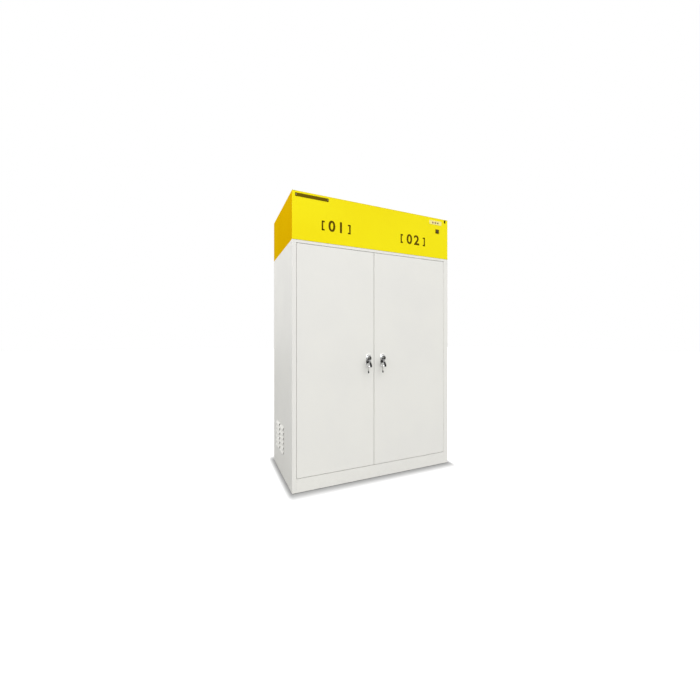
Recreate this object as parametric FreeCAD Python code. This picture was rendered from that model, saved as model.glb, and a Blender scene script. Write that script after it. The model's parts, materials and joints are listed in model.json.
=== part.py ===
import FreeCAD, Part
import math
import os

Vector = FreeCAD.Vector
AXIS_X = Vector(1, 0, 0)
AXIS_Y = Vector(0, 1, 0)
AXIS_Z = Vector(0, 0, 1)

# Reagent drawer cabinet: a two-door steel cabinet with pull-out drawers behind the doors
# and a fan and filter cap on top. Millimetres. X runs along the front, Y from front to back,
# Z up. The origin is at the bottom, in the middle of the space that the whole object takes.

# Overall sizes
cabinet_width = 1200.0
cabinet_depth = 600.0
body_height = 1550.0
cap_height = 300.0
handle_reach = 44.0
inlet_flange = 2.0

# Sheets and common clearances
sheet = 1.5
back_sheet = 1.2
door_sheet = 1.2
overrun = 5.0
seat_gap = 0.3
running_fit = 0.05
bolt_clearance = 0.2
bend_radius = 2.0
door_bend_radius = 1.6
cover_edge_radius = 1.4

# Front frame
left_stile_width = 27.0
right_stile_width = 39.0
seam_shift = -36.5
top_rail_height = 17.0
plinth_height = 87.0
plinth_fold = 30.0
foot_height = 4.0
stop_flange_height = 28.0
divider_flange = 60.0
rear_fold_width = 20.0
foot_fold_width = 40.0
foot_fold_setback = 40.0

# Doors, their pivots and seals
door_gap = 3.0
jamb_gap = 1.6
door_thickness = 24.0
stop_gap = 6.0
pivot_inset = 14.0
pivot_setback = 6.0
pin_radius = 4.0
pin_reach = 12.0
pin_head_radius = 7.0
pin_head_height = 3.0
boss_width = 18.0
boss_height = 10.0
seal_width = 8.0
seal_hinge_offset = 16.0
seal_margin = 4.0
seal_seam_offset = 12.0
stiffener_width = 60.0
stiffener_shares = (0.3, 0.66)

# Locks, from the hub that the lever turns on
lock_height = 816.0
left_lock_x = -80.0
right_lock_x = 29.0
lock_plate_width = 40.0
lock_plate_height = 88.0
lock_plate_corner = 17.0
lock_plate_thickness = 4.0
lock_plate_drop = 17.0
lock_plate_edge = 1.5
hub_radius = 14.0
hub_reach = 15.0
lever_width = 14.0
lever_edge = 1.5
lever_drop = 60.0
lever_outline_shares = (
    (0.10, -0.03), (0.10, -0.22), (0.27, -0.33), (0.80, -0.72), (0.82, -1.0),
    (1.0, -1.0), (1.0, -0.76), (0.89, -0.70), (0.36, -0.20), (0.33, -0.03),
)
spindle_radius = 8.0
cam_radius = 15.0
cam_thickness = 3.0
cam_setback = 8.0
cam_pin_circle = 11.0
cam_pin_radius = 2.5
cam_pin_length = 7.0
plug_radius = 5.5
plug_length = 10.0
key_thickness = 2.2
key_shank_length = 6.0
key_shank_height = 6.0
key_bow_radius = 11.0
key_hole_radius = 3.4
key_hole_share = 0.12
ring_radius = 15.0
ring_wire = 0.8
ring_lean = 50.0
spare_bow_radius = 10.0
spare_blade_length = 70.0
spare_blade_width = 7.0
spare_lean = 6.0

# Lock rods in the door's hollow
rod_radius = 4.0
rod_setback = 16.0
rod_offset = 9.4
rod_inset = 2.0
rod_guide_clearance = 0.5
rod_hole_clearance = 2.0
yoke_width = 18.0
yoke_height = 12.0
yoke_thickness = 3.0
yoke_slot_clearance = 0.6

# Louvres near the floor of both sides
louvre_rows = 6
louvre_columns = 2
louvre_pitch = 32.5
louvre_base = 166.0
louvre_length = 100.0
louvre_spacing = 129.0
louvre_height = 18.0
louvre_projection = 10.0
louvre_setback = 286.0

# Drawers
drawers_per_column = 4
drawer_hinge_inset = 60.0
drawer_setback = 90.0
drawer_floor_gap = 15.0
drawer_rear_gap = 14.0
drawer_front_height = 130.0
drawer_side_height = 95.0
drawer_sheet = 1.0
drawer_hem = 12.0
drawer_seam_clearance = 4.0
hand_slot_length = 110.0
hand_slot_height = 24.0
hand_slot_corner = 4.0
hand_slot_drop = 34.0

# Slides of the drawers
slide_space = 13.0
slide_height = 42.0
slide_rise = 22.0
slide_play = 0.6
slide_front_gap = 4.0
moving_slide_inset = 6.0
bracket_length = 40.0
bracket_sheet = 2.5
bracket_flange = 36.0
bracket_shares = (0.12, 0.8)

# Filter deck, filters and fans
filter_side_gap = 82.0
filter_centre_gap = 58.0
filter_depth = 400.0
filter_height = 150.0
filter_rim = 14.0
filter_recess = 12.0
pad_thickness = 5.7
deck_opening_margin = 24.0
fan_size = 280.0
fan_height = 80.0
fan_corner = 12.0
fan_bore_radius = 128.0
fan_plate_opening_radius = 120.0
fan_plate_fold = 15.0
rotor_clearance = 4.0
rotor_hub_radius = 48.0
rotor_height = 34.0
rotor_rise = 44.0
blade_count = 7
blade_thickness = 3.0
blade_pitch = 32.0
blade_root = 6.0
motor_radius = 46.0
motor_height = 36.0
motor_arm_width = 14.0
motor_arm_height = 8.0
motor_arm_bite = 6.0
axle_radius = 4.0

# Cap covers
cap_joint = 2.0
cover_fold = 20.0
lid_lip = 15.0
exhaust_slots = 9
exhaust_slot_pitch = 24.0
exhaust_slot_width = 8.0
exhaust_slot_length = 210.0

# Switch in the cap's front
switch_inset = 100.0
switch_rise_share = 0.67
bezel_width = 33.0
bezel_height = 30.0
bezel_flange = 2.0
bezel_body_width = 28.4
bezel_body_height = 26.0
bezel_body_depth = 18.0
rocker_width = 20.0
rocker_height = 20.0
rocker_clearance = 0.4
rocker_well_height = 23.0
rocker_well_depth = 12.0
rocker_crown = 3.0
rocker_dip = 1.4
rocker_keel = 6.0
rocker_pivot_setback = 3.0
rocker_pin_radius = 1.5
rocker_pin_length = 2.0
rocker_tilt = 8.0

# Control box and power inlet
control_box_width = 120.0
control_box_depth = 80.0
control_box_height = 84.0
control_box_setback = 45.0
control_box_edge = 4.0
inlet_inset = 120.0
inlet_rise = 62.0
inlet_width = 50.0
inlet_flange_height = 32.0
inlet_body_width = 40.0
inlet_body_height = 25.0
inlet_body_depth = 26.0
inlet_wall = 3.0
inlet_well_depth = 18.0

# Levelling feet
foot_radius = 20.0
foot_stem_radius = 5.0
foot_stem_length = 45.0
foot_nut_radius = 9.0
foot_nut_height = 8.0
foot_inset = 30.0
foot_margin = 70.0

# Screws and wall fixing
screw_radius = 2.0
screw_head_radius = 4.2
screw_head_height = 1.8
screw_length = 6.0
screw_inset = 11.0
cap_screw_shares = (0.2, 0.5, 0.8)
back_screw_shares = (0.08, 0.36, 0.64, 0.92)
wall_hole_radius = 4.5
wall_hole_inset = 100.0
wall_hole_drop = 70.0

# Planes worked out from the sizes
x_left = -0.5 * cabinet_width
x_right = 0.5 * cabinet_width
front_y = -0.5 * (cabinet_depth + inlet_flange - handle_reach)
back_y = front_y + cabinet_depth
cap_top = body_height + cap_height
back_inner_y = back_y - sheet - back_sheet
stop_y = front_y + door_thickness + stop_gap
door_back = front_y + door_thickness
left_jamb = x_left + left_stile_width
right_jamb = x_right - right_stile_width
seam_x = seam_shift
head_z = body_height - top_rail_height
head_stop = head_z - stop_flange_height
sill_stop = plinth_height + stop_flange_height
door_low = plinth_height + door_gap
door_high = head_z - door_gap
left_pivot_x = left_jamb + jamb_gap + pivot_inset
right_pivot_x = right_jamb - jamb_gap - pivot_inset
pivot_y = front_y + pivot_setback
rod_y = front_y + rod_setback
cam_pin_reach = cam_pin_circle * math.sin(math.pi / 4)
filter_width = 0.5 * cabinet_width - filter_side_gap - filter_centre_gap
filter_shift = filter_centre_gap + 0.5 * filter_width
switch_x = x_right - switch_inset
switch_height = body_height + switch_rise_share * cap_height
inlet_x = x_right - inlet_inset
inlet_height = body_height + inlet_rise
wall_hole_spacing = cabinet_width - 2 * wall_hole_inset
wall_hole_height = body_height - wall_hole_drop

# Each door: where it hangs, where it meets the seam, its lock and the way its lever turns
doors = {
    "left": {"side": 1, "hinge_edge": left_jamb + jamb_gap, "seam_edge": seam_x - 0.5 * door_gap,
             "pivot": left_pivot_x, "lock": left_lock_x},
    "right": {"side": -1, "hinge_edge": right_jamb - jamb_gap, "seam_edge": seam_x + 0.5 * door_gap,
              "pivot": right_pivot_x, "lock": right_lock_x},
}

pieces = {}


def block(x_low, x_high, y_low, y_high, z_low, z_high):
    corner = Vector(min(x_low, x_high), min(y_low, y_high), min(z_low, z_high))
    return Part.makeBox(abs(x_high - x_low), abs(y_high - y_low), abs(z_high - z_low), corner)


def prism_x(outline, x_low, x_high):
    """Solid with an outline of (y, z) points, drawn along X."""
    points = [Vector(x_low, y, z) for y, z in outline]
    return Part.Face(Part.makePolygon(points + points[:1])).extrude(AXIS_X * (x_high - x_low))


def prism_y(outline, y_low, y_high):
    """Solid with an outline of (x, z) points, drawn along Y."""
    points = [Vector(x, y_low, z) for x, z in outline]
    return Part.Face(Part.makePolygon(points + points[:1])).extrude(AXIS_Y * (y_high - y_low))


def rod_z(radius, x, y, z_low, z_high):
    return Part.makeCylinder(radius, z_high - z_low, Vector(x, y, z_low), AXIS_Z)


def rod_along_y(radius, x, z, y_low, y_high):
    return Part.makeCylinder(radius, y_high - y_low, Vector(x, y_low, z), AXIS_Y)


def rod_along_x(radius, y, z, x_low, x_high):
    return Part.makeCylinder(radius, x_high - x_low, Vector(x_low, y, z), AXIS_X)


def join(first, *others):
    return first.multiFuse(list(others)).removeSplitter()


def edges_along(shape, axis):
    """Straight edges of a shape that run along an axis."""
    found = []
    for edge in shape.Edges:
        if edge.Curve.TypeId == "Part::GeomLine":
            run = edge.Vertexes[-1].Point - edge.Vertexes[0].Point
            if run.cross(axis).Length < running_fit * run.Length:
                found.append(edge)
    return found


def edges_at_y(shape, y):
    """Edges of a shape that lie in a plane across Y."""
    return [edge for edge in shape.Edges
            if abs(edge.BoundBox.YMin - y) < running_fit and abs(edge.BoundBox.YMax - y) < running_fit]


def edges_at_z(shape, z):
    """Edges of a shape that lie in a plane across Z."""
    return [edge for edge in shape.Edges
            if abs(edge.BoundBox.ZMin - z) < running_fit and abs(edge.BoundBox.ZMax - z) < running_fit]


def upright_edges(shape, x, y):
    """Edges along Z that stand at one place in plan."""
    return [edge for edge in edges_along(shape, AXIS_Z)
            if math.hypot(edge.BoundBox.Center.x - x, edge.BoundBox.Center.y - y) < running_fit]


def rounded_plate(x, z, width, height, corner, y_low, y_high):
    """Plate across Y with rounded corners."""
    plate = block(x - 0.5 * width, x + 0.5 * width, y_low, y_high, z - 0.5 * height, z + 0.5 * height)
    return plate.makeFillet(corner, edges_along(plate, AXIS_Y))


def group(solids):
    return Part.makeCompound(solids)


# Carcass

def louvre_places():
    """Middle and foot of every louvre, as Y and Z."""
    return [(front_y + louvre_setback + column * louvre_spacing, louvre_base + row * louvre_pitch)
            for column in range(louvre_columns) for row in range(louvre_rows)]


def louvre_flap(y, z):
    """One flap of the left wall, bent out below its top edge."""
    outline = [(x_left, z), (x_left - louvre_projection, z), (x_left, z + louvre_height)]
    return prism_y(outline, y - 0.5 * louvre_length, y + 0.5 * louvre_length)


def louvre_air_way(y, z):
    """What is open behind one flap: the wedge outside the wall and the window through it."""
    half = 0.5 * louvre_length
    lip = z + louvre_height - 2 * sheet
    outline = [
        (x_left, z - overrun), (x_left - louvre_projection + sheet, z - overrun),
        (x_left - louvre_projection + sheet, z), (x_left, lip),
    ]
    wedge = prism_y(outline, y - half - overrun, y + half + overrun)
    window = block(x_left, x_left + sheet + overrun, y - half, y + half, z, lip)
    return [wedge, window]


def foot_places():
    """Centres of the four feet."""
    places = []
    for x in (x_left + foot_inset, x_right - foot_inset):
        for y in (front_y + foot_margin, back_y - foot_margin):
            places.append((x, y))
    return places


def side_panel(stile_width):
    """The left side, folded from one sheet. The right one is its mirror image."""
    inner = x_left + sheet
    jamb = x_left + stile_width
    flange_end = jamb + jamb_gap + pivot_inset + seal_hinge_offset + seal_width + seal_margin
    wall = block(x_left, inner, front_y, back_y, foot_height, body_height)
    stile = block(x_left, jamb, front_y, front_y + sheet, foot_height, body_height)
    jamb_fold = block(jamb - sheet, jamb, front_y, stop_y + sheet, foot_height, body_height - sheet)
    stop_flange = block(jamb, flange_end, stop_y, stop_y + sheet, sill_stop, head_stop)
    rear_fold = block(x_left, x_left + rear_fold_width, back_y - sheet, back_y, foot_height, body_height)
    foot_fold = block(
        x_left, x_left + foot_fold_width,
        front_y + foot_fold_setback, back_inner_y - foot_fold_setback, foot_height, foot_height + sheet)
    flaps = [louvre_flap(y, z) for y, z in louvre_places()]
    cuts = []
    for y, z in louvre_places():
        cuts += louvre_air_way(y, z)
    for x, y in foot_places():
        cuts.append(rod_z(foot_stem_radius + bolt_clearance, x, y, 0, foot_height + overrun))
    folded = join(wall, stile, jamb_fold, rear_fold)
    bends = []
    for x, y in ((x_left, front_y), (jamb, front_y), (x_left, back_y)):
        bends += upright_edges(folded, x, y)
    folded = folded.makeFillet(bend_radius, bends)
    return join(folded, stop_flange, foot_fold, *flaps).cut(cuts)


def build_carcass():
    pieces["left_side_panel"] = side_panel(left_stile_width)
    pieces["right_side_panel"] = side_panel(right_stile_width).mirror(Vector(), AXIS_X)

    back = block(x_left + sheet, x_right - sheet, back_inner_y, back_inner_y + back_sheet,
                 foot_height, body_height)
    wall_holes = [
        rod_along_y(wall_hole_radius, x, wall_hole_height, back_inner_y - overrun, back_y + overrun)
        for x in (-0.5 * wall_hole_spacing, 0.5 * wall_hole_spacing)
    ]
    pieces["back_panel"] = back.cut(wall_holes + back_screw_holes())

    sill = block(left_jamb, right_jamb, front_y, stop_y + sheet, plinth_height - sheet, plinth_height)
    floor = block(x_left + sheet, x_right - sheet, stop_y + sheet, back_inner_y,
                  plinth_height - sheet, plinth_height)
    upstand = block(left_jamb, right_jamb, stop_y, stop_y + sheet, plinth_height, sill_stop)
    skirt = block(x_left + sheet, x_right - sheet, back_inner_y - sheet, back_inner_y,
                  foot_height, plinth_height - sheet)
    pan = join(sill, floor, upstand, skirt)
    pieces["base_pan"] = pan.cut(frame_holes(-1, plinth_height) + sill_pin_holes() + back_screw_holes())

    face = block(left_jamb, right_jamb, front_y, front_y + sheet, foot_height, plinth_height - sheet)
    fold = block(left_jamb, right_jamb, front_y, front_y + plinth_fold, foot_height, foot_height + sheet)
    pieces["plinth_front"] = join(face, fold)

    face = block(left_jamb, right_jamb, front_y, front_y + sheet, head_z, body_height - sheet)
    brow = block(left_jamb, right_jamb, front_y, front_y + sheet, body_height - sheet, body_height)
    underside = block(left_jamb, right_jamb, front_y, stop_y + sheet, head_z, head_z + sheet)
    flange = block(left_jamb, right_jamb, stop_y, stop_y + sheet, head_stop, head_z)
    rail = join(face, brow, underside, flange)
    pieces["top_rail"] = rail.cut(frame_holes(1, head_z) + head_pin_holes())

    wall = block(seam_x - 0.5 * sheet, seam_x + 0.5 * sheet, stop_y + sheet, back_inner_y,
                 plinth_height, body_height - sheet)
    flange = block(seam_x - 0.5 * divider_flange, seam_x + 0.5 * divider_flange,
                   stop_y, stop_y + sheet, sill_stop, head_stop)
    pieces["centre_divider"] = join(wall, flange)


def frame_holes(way, z):
    """Clearance holes that the lock rods enter, up (1) or down (-1), in a frame member at z."""
    holes = []
    for door in doors.values():
        x = door["lock"] - way * door["side"] * rod_offset
        holes.append(rod_z(rod_radius + rod_hole_clearance, x, rod_y, z - overrun, z + overrun))
    return holes


def sill_pin_holes():
    return [rod_z(pin_radius + running_fit, door["pivot"], pivot_y,
                  plinth_height - overrun, plinth_height + overrun) for door in doors.values()]


def head_pin_holes():
    return [rod_z(pin_radius + running_fit, door["pivot"], pivot_y,
                  head_z - overrun, head_z + overrun) for door in doors.values()]


def build_hinge_pins():
    pins = []
    for door in doors.values():
        sill_under = plinth_height - sheet
        shank = rod_z(pin_radius, door["pivot"], pivot_y, sill_under, door_low + pin_reach)
        head = block(door["pivot"] - pin_head_radius, door["pivot"] + pin_head_radius,
                     front_y + sheet, pivot_y + pin_head_radius, sill_under - pin_head_height, sill_under)
        pins.append(join(shank, head))
        head_over = head_z + sheet
        shank = rod_z(pin_radius, door["pivot"], pivot_y, door_high - pin_reach, head_over)
        head = block(door["pivot"] - pin_head_radius, door["pivot"] + pin_head_radius,
                     front_y + sheet, pivot_y + pin_head_radius, head_over, head_over + pin_head_height)
        pins.append(join(shank, head))
    pieces["door_hinge_pins"] = group(pins)


def build_seals():
    """One soft ring on the stop flanges behind each door."""
    rings = []
    low = sill_stop - seal_margin - seal_width
    high = head_stop + seal_margin + seal_width
    for door in doors.values():
        side = door["side"]
        hinge = door["pivot"] + side * seal_hinge_offset
        seam = seam_x - side * seal_seam_offset
        outer = block(hinge, seam, door_back + seat_gap, stop_y, low, high)
        inner = block(hinge + side * seal_width, seam - side * seal_width,
                      door_back, stop_y + overrun, low + seal_width, high - seal_width)
        rings.append(outer.cut(inner))
    pieces["door_seals"] = group(rings)


def build_feet():
    feet = []
    for x, y in foot_places():
        disc = rod_z(foot_radius, x, y, 0, foot_height)
        stem = rod_z(foot_stem_radius, x, y, foot_height, foot_stem_length)
        nut_low = foot_height + sheet
        nut = rod_z(foot_nut_radius, x, y, nut_low, nut_low + foot_nut_height)
        feet.append(join(disc, stem, nut))
    pieces["levelling_feet"] = group(feet)


# Doors and their locks

def build_door(name, door):
    side = door["side"]
    hinge_edge = door["hinge_edge"]
    seam_edge = door["seam_edge"]
    pivot = door["pivot"]
    lock = door["lock"]
    skin_back = front_y + door_sheet
    shell = block(hinge_edge, seam_edge, front_y, door_back, door_low, door_high)
    shell = shell.makeFillet(door_bend_radius, edges_at_y(shell, front_y))
    hollow = block(hinge_edge + side * door_sheet, seam_edge - side * door_sheet,
                   skin_back, door_back + overrun, door_low + door_sheet, door_high - door_sheet)
    skin = shell.cut(hollow)
    boss_back = pivot_y + 0.5 * boss_width
    boss_left = pivot - 0.5 * boss_width
    boss_right = pivot + 0.5 * boss_width
    foot_boss = block(boss_left, boss_right, skin_back, boss_back,
                      door_low + door_sheet, door_low + door_sheet + boss_height)
    head_boss = block(boss_left, boss_right, skin_back, boss_back,
                      door_high - door_sheet - boss_height, door_high - door_sheet)
    skin = join(skin, foot_boss, head_boss)
    pin_hole = pin_radius + running_fit
    rod_hole = rod_radius + rod_guide_clearance
    pin_way = pin_reach + overrun
    cuts = [
        rod_z(pin_hole, pivot, pivot_y, door_low - overrun, door_low + pin_way),
        rod_z(pin_hole, pivot, pivot_y, door_high - pin_way, door_high + overrun),
        rod_z(rod_hole, lock - side * rod_offset, rod_y, door_high - overrun, door_high + overrun),
        rod_z(rod_hole, lock + side * rod_offset, rod_y, door_low - overrun, door_low + overrun),
        rod_along_y(spindle_radius + seat_gap, lock, lock_height, front_y - overrun, front_y + overrun),
    ]
    pieces[name + "_door_skin"] = skin.cut(cuts)

    liner_back = door_back - door_sheet
    liner_hinge = hinge_edge + side * door_sheet
    liner_seam = seam_edge - side * door_sheet
    liner = block(liner_hinge, liner_seam, liner_back, door_back,
                  door_low + door_sheet, door_high - door_sheet)
    ribs = []
    rib_low = door_low + 2 * boss_height
    rib_high = door_high - 2 * boss_height
    for share in stiffener_shares:
        middle = liner_hinge + share * (liner_seam - liner_hinge)
        rib = block(middle - 0.5 * stiffener_width, middle + 0.5 * stiffener_width,
                    skin_back, liner_back, rib_low, rib_high)
        half = 0.5 * stiffener_width - door_sheet
        inside = block(middle - half, middle + half, skin_back + door_sheet, liner_back,
                       rib_low - overrun, rib_high + overrun)
        ribs.append(rib.cut(inside))
    pieces[name + "_door_liner"] = join(liner, *ribs)

    plate_z = lock_height - lock_plate_drop
    plate_y = front_y - lock_plate_thickness
    plate = rounded_plate(lock, plate_z, lock_plate_width, lock_plate_height, lock_plate_corner,
                          plate_y, front_y)
    plate = plate.makeFillet(lock_plate_edge, edges_at_y(plate, plate_y))
    bore = rod_along_y(spindle_radius + running_fit, lock, lock_height, plate_y - overrun, front_y + overrun)
    pieces[name + "_lock_plate"] = plate.cut(bore)
    pieces[name + "_handle"] = build_handle(lock, side)
    build_keys(name, lock)
    build_rods(name, lock, side)


def build_handle(lock, side):
    """Hub, lever, spindle and the cam that drives the two rods."""
    hub_back = front_y - lock_plate_thickness - seat_gap
    hub_face = front_y - hub_reach
    hub = rod_along_y(hub_radius, lock, lock_height, hub_face, hub_back)
    hub = hub.makeFillet(lever_edge, edges_at_y(hub, hub_face))
    outline = []
    for reach_share, drop_share in lever_outline_shares:
        outline.append((front_y - reach_share * handle_reach, lock_height + drop_share * lever_drop))
    lever = prism_x(outline, lock - 0.5 * lever_width, lock + 0.5 * lever_width)
    lever = lever.makeFillet(lever_edge, lever.Edges)
    cam_y = front_y + cam_setback
    spindle = rod_along_y(spindle_radius, lock, lock_height, hub_back, cam_y)
    cam = rod_along_y(cam_radius, lock, lock_height, cam_y, cam_y + cam_thickness)
    studs = []
    for way in (1, -1):
        x = lock - way * side * cam_pin_reach
        z = lock_height - way * cam_pin_reach
        stud_low = cam_y + cam_thickness
        studs.append(rod_along_y(cam_pin_radius, x, z, stud_low, stud_low + cam_pin_length))
    plug_way = rod_along_y(plug_radius + running_fit, lock, lock_height,
                           hub_face - overrun, hub_face + plug_length + seat_gap)
    return join(hub, lever, spindle, cam, *studs).cut(plug_way)


def key_bow(x, y, z, radius):
    """A flat round bow across X."""
    return rod_along_x(radius, y, z, x - 0.5 * key_thickness, x + 0.5 * key_thickness)


def build_keys(name, lock):
    hub_face = front_y - hub_reach
    plug = rod_along_y(plug_radius, lock, lock_height, hub_face, hub_face + plug_length)
    bow_y = hub_face - key_shank_length - key_bow_radius
    half = 0.5 * key_thickness
    shank = block(lock - half, lock + half, bow_y, hub_face,
                  lock_height - 0.5 * key_shank_height, lock_height + 0.5 * key_shank_height)
    hole_y = bow_y - key_hole_share * key_bow_radius
    bow = key_bow(lock, bow_y, lock_height, key_bow_radius)
    hole = rod_along_x(key_hole_radius, hole_y, lock_height, lock - overrun, lock + overrun)
    pieces[name + "_key"] = join(plug, shank, bow).cut(hole)

    lean = math.radians(ring_lean)
    ring_x = lock - ring_radius * math.sin(lean)
    ring_z = lock_height - ring_radius * math.cos(lean)
    ring = Part.makeTorus(ring_radius, ring_wire, Vector(ring_x, hole_y, ring_z), AXIS_Y)
    end_x = lock - 2 * ring_radius * math.sin(lean)
    end_z = lock_height - 2 * ring_radius * math.cos(lean)
    bow_z = end_z - 0.5 * spare_bow_radius
    spare_bow = rod_along_y(spare_bow_radius, end_x, bow_z, hole_y - half, hole_y + half)
    blade_top = bow_z - 0.5 * spare_bow_radius
    blade = block(end_x - 0.5 * spare_blade_width, end_x + 0.5 * spare_blade_width,
                  hole_y - half, hole_y + half, blade_top - spare_blade_length, blade_top)
    spare = join(spare_bow, blade)
    spare.rotate(Vector(end_x, hole_y, end_z), AXIS_Y, -spare_lean)
    pieces[name + "_spare_key"] = join(ring, spare)


def build_rods(name, lock, side):
    for way, label, tip in ((1, "upper", door_high - rod_inset), (-1, "lower", door_low + rod_inset)):
        x = lock - way * side * rod_offset
        pin_z = lock_height - way * cam_pin_reach
        yoke_low = rod_y - 0.5 * yoke_thickness
        yoke_high = rod_y + 0.5 * yoke_thickness
        yoke = block(x - 0.5 * yoke_width, x + 0.5 * yoke_width, yoke_low, yoke_high,
                     pin_z - 0.5 * yoke_height, pin_z + 0.5 * yoke_height)
        slot_half = cam_pin_radius + yoke_slot_clearance
        slot_reach = slot_half + 0.5 * (cam_pin_circle - cam_pin_reach)
        slot = block(x - slot_reach, x + slot_reach, yoke_low - overrun, yoke_high + overrun,
                     pin_z - slot_half, pin_z + slot_half)
        root = pin_z + way * 0.4 * yoke_height
        bar = rod_z(rod_radius, x, rod_y, min(root, tip), max(root, tip))
        pieces[name + "_" + label + "_lock_rod"] = join(yoke, bar).cut(slot)


# Drawers

def column_span(name):
    """The two X limits of a column's drawers, hinge side first."""
    door = doors[name]
    side = door["side"]
    hinge_side = door["pivot"] + side * drawer_hinge_inset
    seam_side = seam_x - side * (0.5 * divider_flange + drawer_seam_clearance)
    return hinge_side, seam_side


drawer_front_y = door_back + drawer_setback
drawer_pitch = (head_stop - sill_stop) / drawers_per_column
slide_front = drawer_front_y + slide_front_gap
slide_back = back_inner_y - drawer_rear_gap


def drawer_floor(index):
    return sill_stop + drawer_floor_gap + index * drawer_pitch


def build_drawer(name, index):
    """A front with its hand slot, and a tray of four sheets spot-welded at their edges."""
    hinge_side, seam_side = column_span(name)
    low, high = min(hinge_side, seam_side), max(hinge_side, seam_side)
    floor_z = drawer_floor(index)
    tray_low = low + slide_space
    tray_high = high - slide_space
    front_back = drawer_front_y + drawer_sheet
    front = block(low, high, drawer_front_y, front_back, floor_z, floor_z + drawer_front_height)
    top_hem = block(low, high, drawer_front_y, drawer_front_y + drawer_hem,
                    floor_z + drawer_front_height - drawer_sheet, floor_z + drawer_front_height)
    base_top = floor_z + drawer_sheet
    wall_top = floor_z + drawer_side_height
    sheets = [
        block(tray_low, tray_high, front_back, slide_back, floor_z, base_top),
        block(tray_low, tray_low + drawer_sheet, front_back, slide_back, base_top, wall_top),
        block(tray_high - drawer_sheet, tray_high, front_back, slide_back, base_top, wall_top),
        block(tray_low + drawer_sheet, tray_high - drawer_sheet, slide_back - drawer_sheet, slide_back,
              base_top, wall_top),
    ]
    slot_z = floor_z + drawer_front_height - hand_slot_drop
    middle = 0.5 * (low + high)
    slot = rounded_plate(middle, slot_z, hand_slot_length, hand_slot_height, hand_slot_corner,
                         drawer_front_y - overrun, front_back + overrun)
    label = name + "_drawer_" + str(index + 1)
    pieces[label] = group([join(front, top_hem).cut(slot)] + sheets)

    rail_low = floor_z + slide_rise
    members = []
    for outer, way in ((low, 1), (high, -1)):
        web = outer + way * slide_space
        back = outer + way * (sheet + slide_play)
        member = block(web, back, slide_front + moving_slide_inset, slide_back - moving_slide_inset,
                       rail_low + sheet + slide_play, rail_low + slide_height - sheet - slide_play)
        groove = block(web - way * sheet, back - way * overrun,
                       slide_front, slide_back,
                       rail_low + 2 * sheet + slide_play, rail_low + slide_height - 2 * sheet - slide_play)
        members.append(member.cut(groove))
    pieces[label + "_slides"] = group(members)


def fixed_runner(outer, way, support, floor_z):
    """A channel for one slide, with the brackets that hold it off its wall."""
    rail_low = floor_z + slide_rise
    rail_high = rail_low + slide_height
    mouth = outer + way * (slide_space - slide_play)
    channel = block(outer, mouth, slide_front, slide_back, rail_low, rail_high)
    groove = block(outer + way * sheet, mouth + way * overrun, slide_front - overrun, slide_back + overrun,
                   rail_low + sheet, rail_high - sheet)
    solids = []
    for share in bracket_shares:
        start = slide_front + share * (slide_back - slide_front)
        arm = block(support, outer, start, start + bracket_length, rail_low - bracket_sheet, rail_low)
        seat = block(outer, outer + way * 0.5 * slide_space, start, start + bracket_length,
                     rail_low - bracket_sheet, rail_low)
        flange = block(support, support + way * bracket_sheet, start, start + bracket_length,
                       rail_low - bracket_sheet, rail_low + bracket_flange)
        solids += [arm, seat, flange]
    return join(channel.cut(groove), *solids)


def build_runners():
    runners = []
    for name, door in doors.items():
        side = door["side"]
        hinge_side, seam_side = column_span(name)
        wall = -side * (x_right - sheet)
        divider_face = seam_x - side * 0.5 * sheet
        for index in range(drawers_per_column):
            floor_z = drawer_floor(index)
            runners.append(fixed_runner(hinge_side, side, wall, floor_z))
            runners.append(fixed_runner(seam_side, -side, divider_face, floor_z))
    pieces["fixed_runners"] = group(runners)


# Fan and filter head

def filter_places():
    return (("left", -filter_shift), ("right", filter_shift))


filter_y = 0.5 * (front_y + back_y)
fan_plate_z = body_height + filter_height
fan_base = fan_plate_z + sheet


def build_filters():
    deck = block(x_left + sheet, x_right - sheet, front_y + sheet, back_inner_y,
                 body_height - sheet, body_height)
    half_width = 0.5 * filter_width - deck_opening_margin
    half_depth = 0.5 * filter_depth - deck_opening_margin
    openings = []
    pads = []
    for name, x in filter_places():
        openings.append(block(x - half_width, x + half_width, filter_y - half_depth, filter_y + half_depth,
                              body_height - sheet - overrun, body_height + overrun))
        case = block(x - 0.5 * filter_width, x + 0.5 * filter_width,
                     filter_y - 0.5 * filter_depth, filter_y + 0.5 * filter_depth,
                     body_height, body_height + filter_height)
        recess_width = 0.5 * filter_width - filter_rim
        recess_depth = 0.5 * filter_depth - filter_rim
        foot = block(x - recess_width, x + recess_width, filter_y - recess_depth, filter_y + recess_depth,
                     body_height - overrun, body_height + filter_recess)
        head = block(x - recess_width, x + recess_width, filter_y - recess_depth, filter_y + recess_depth,
                     fan_plate_z - filter_recess, fan_plate_z + overrun)
        pieces[name + "_carbon_filter"] = case.cut([foot, head])
        pads.append(block(x - recess_width, x + recess_width,
                          filter_y - recess_depth, filter_y + recess_depth,
                          body_height + filter_recess - pad_thickness, body_height + filter_recess))
    pieces["filter_deck"] = deck.cut(openings)
    pieces["pre_filter_pads"] = group(pads)


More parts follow.
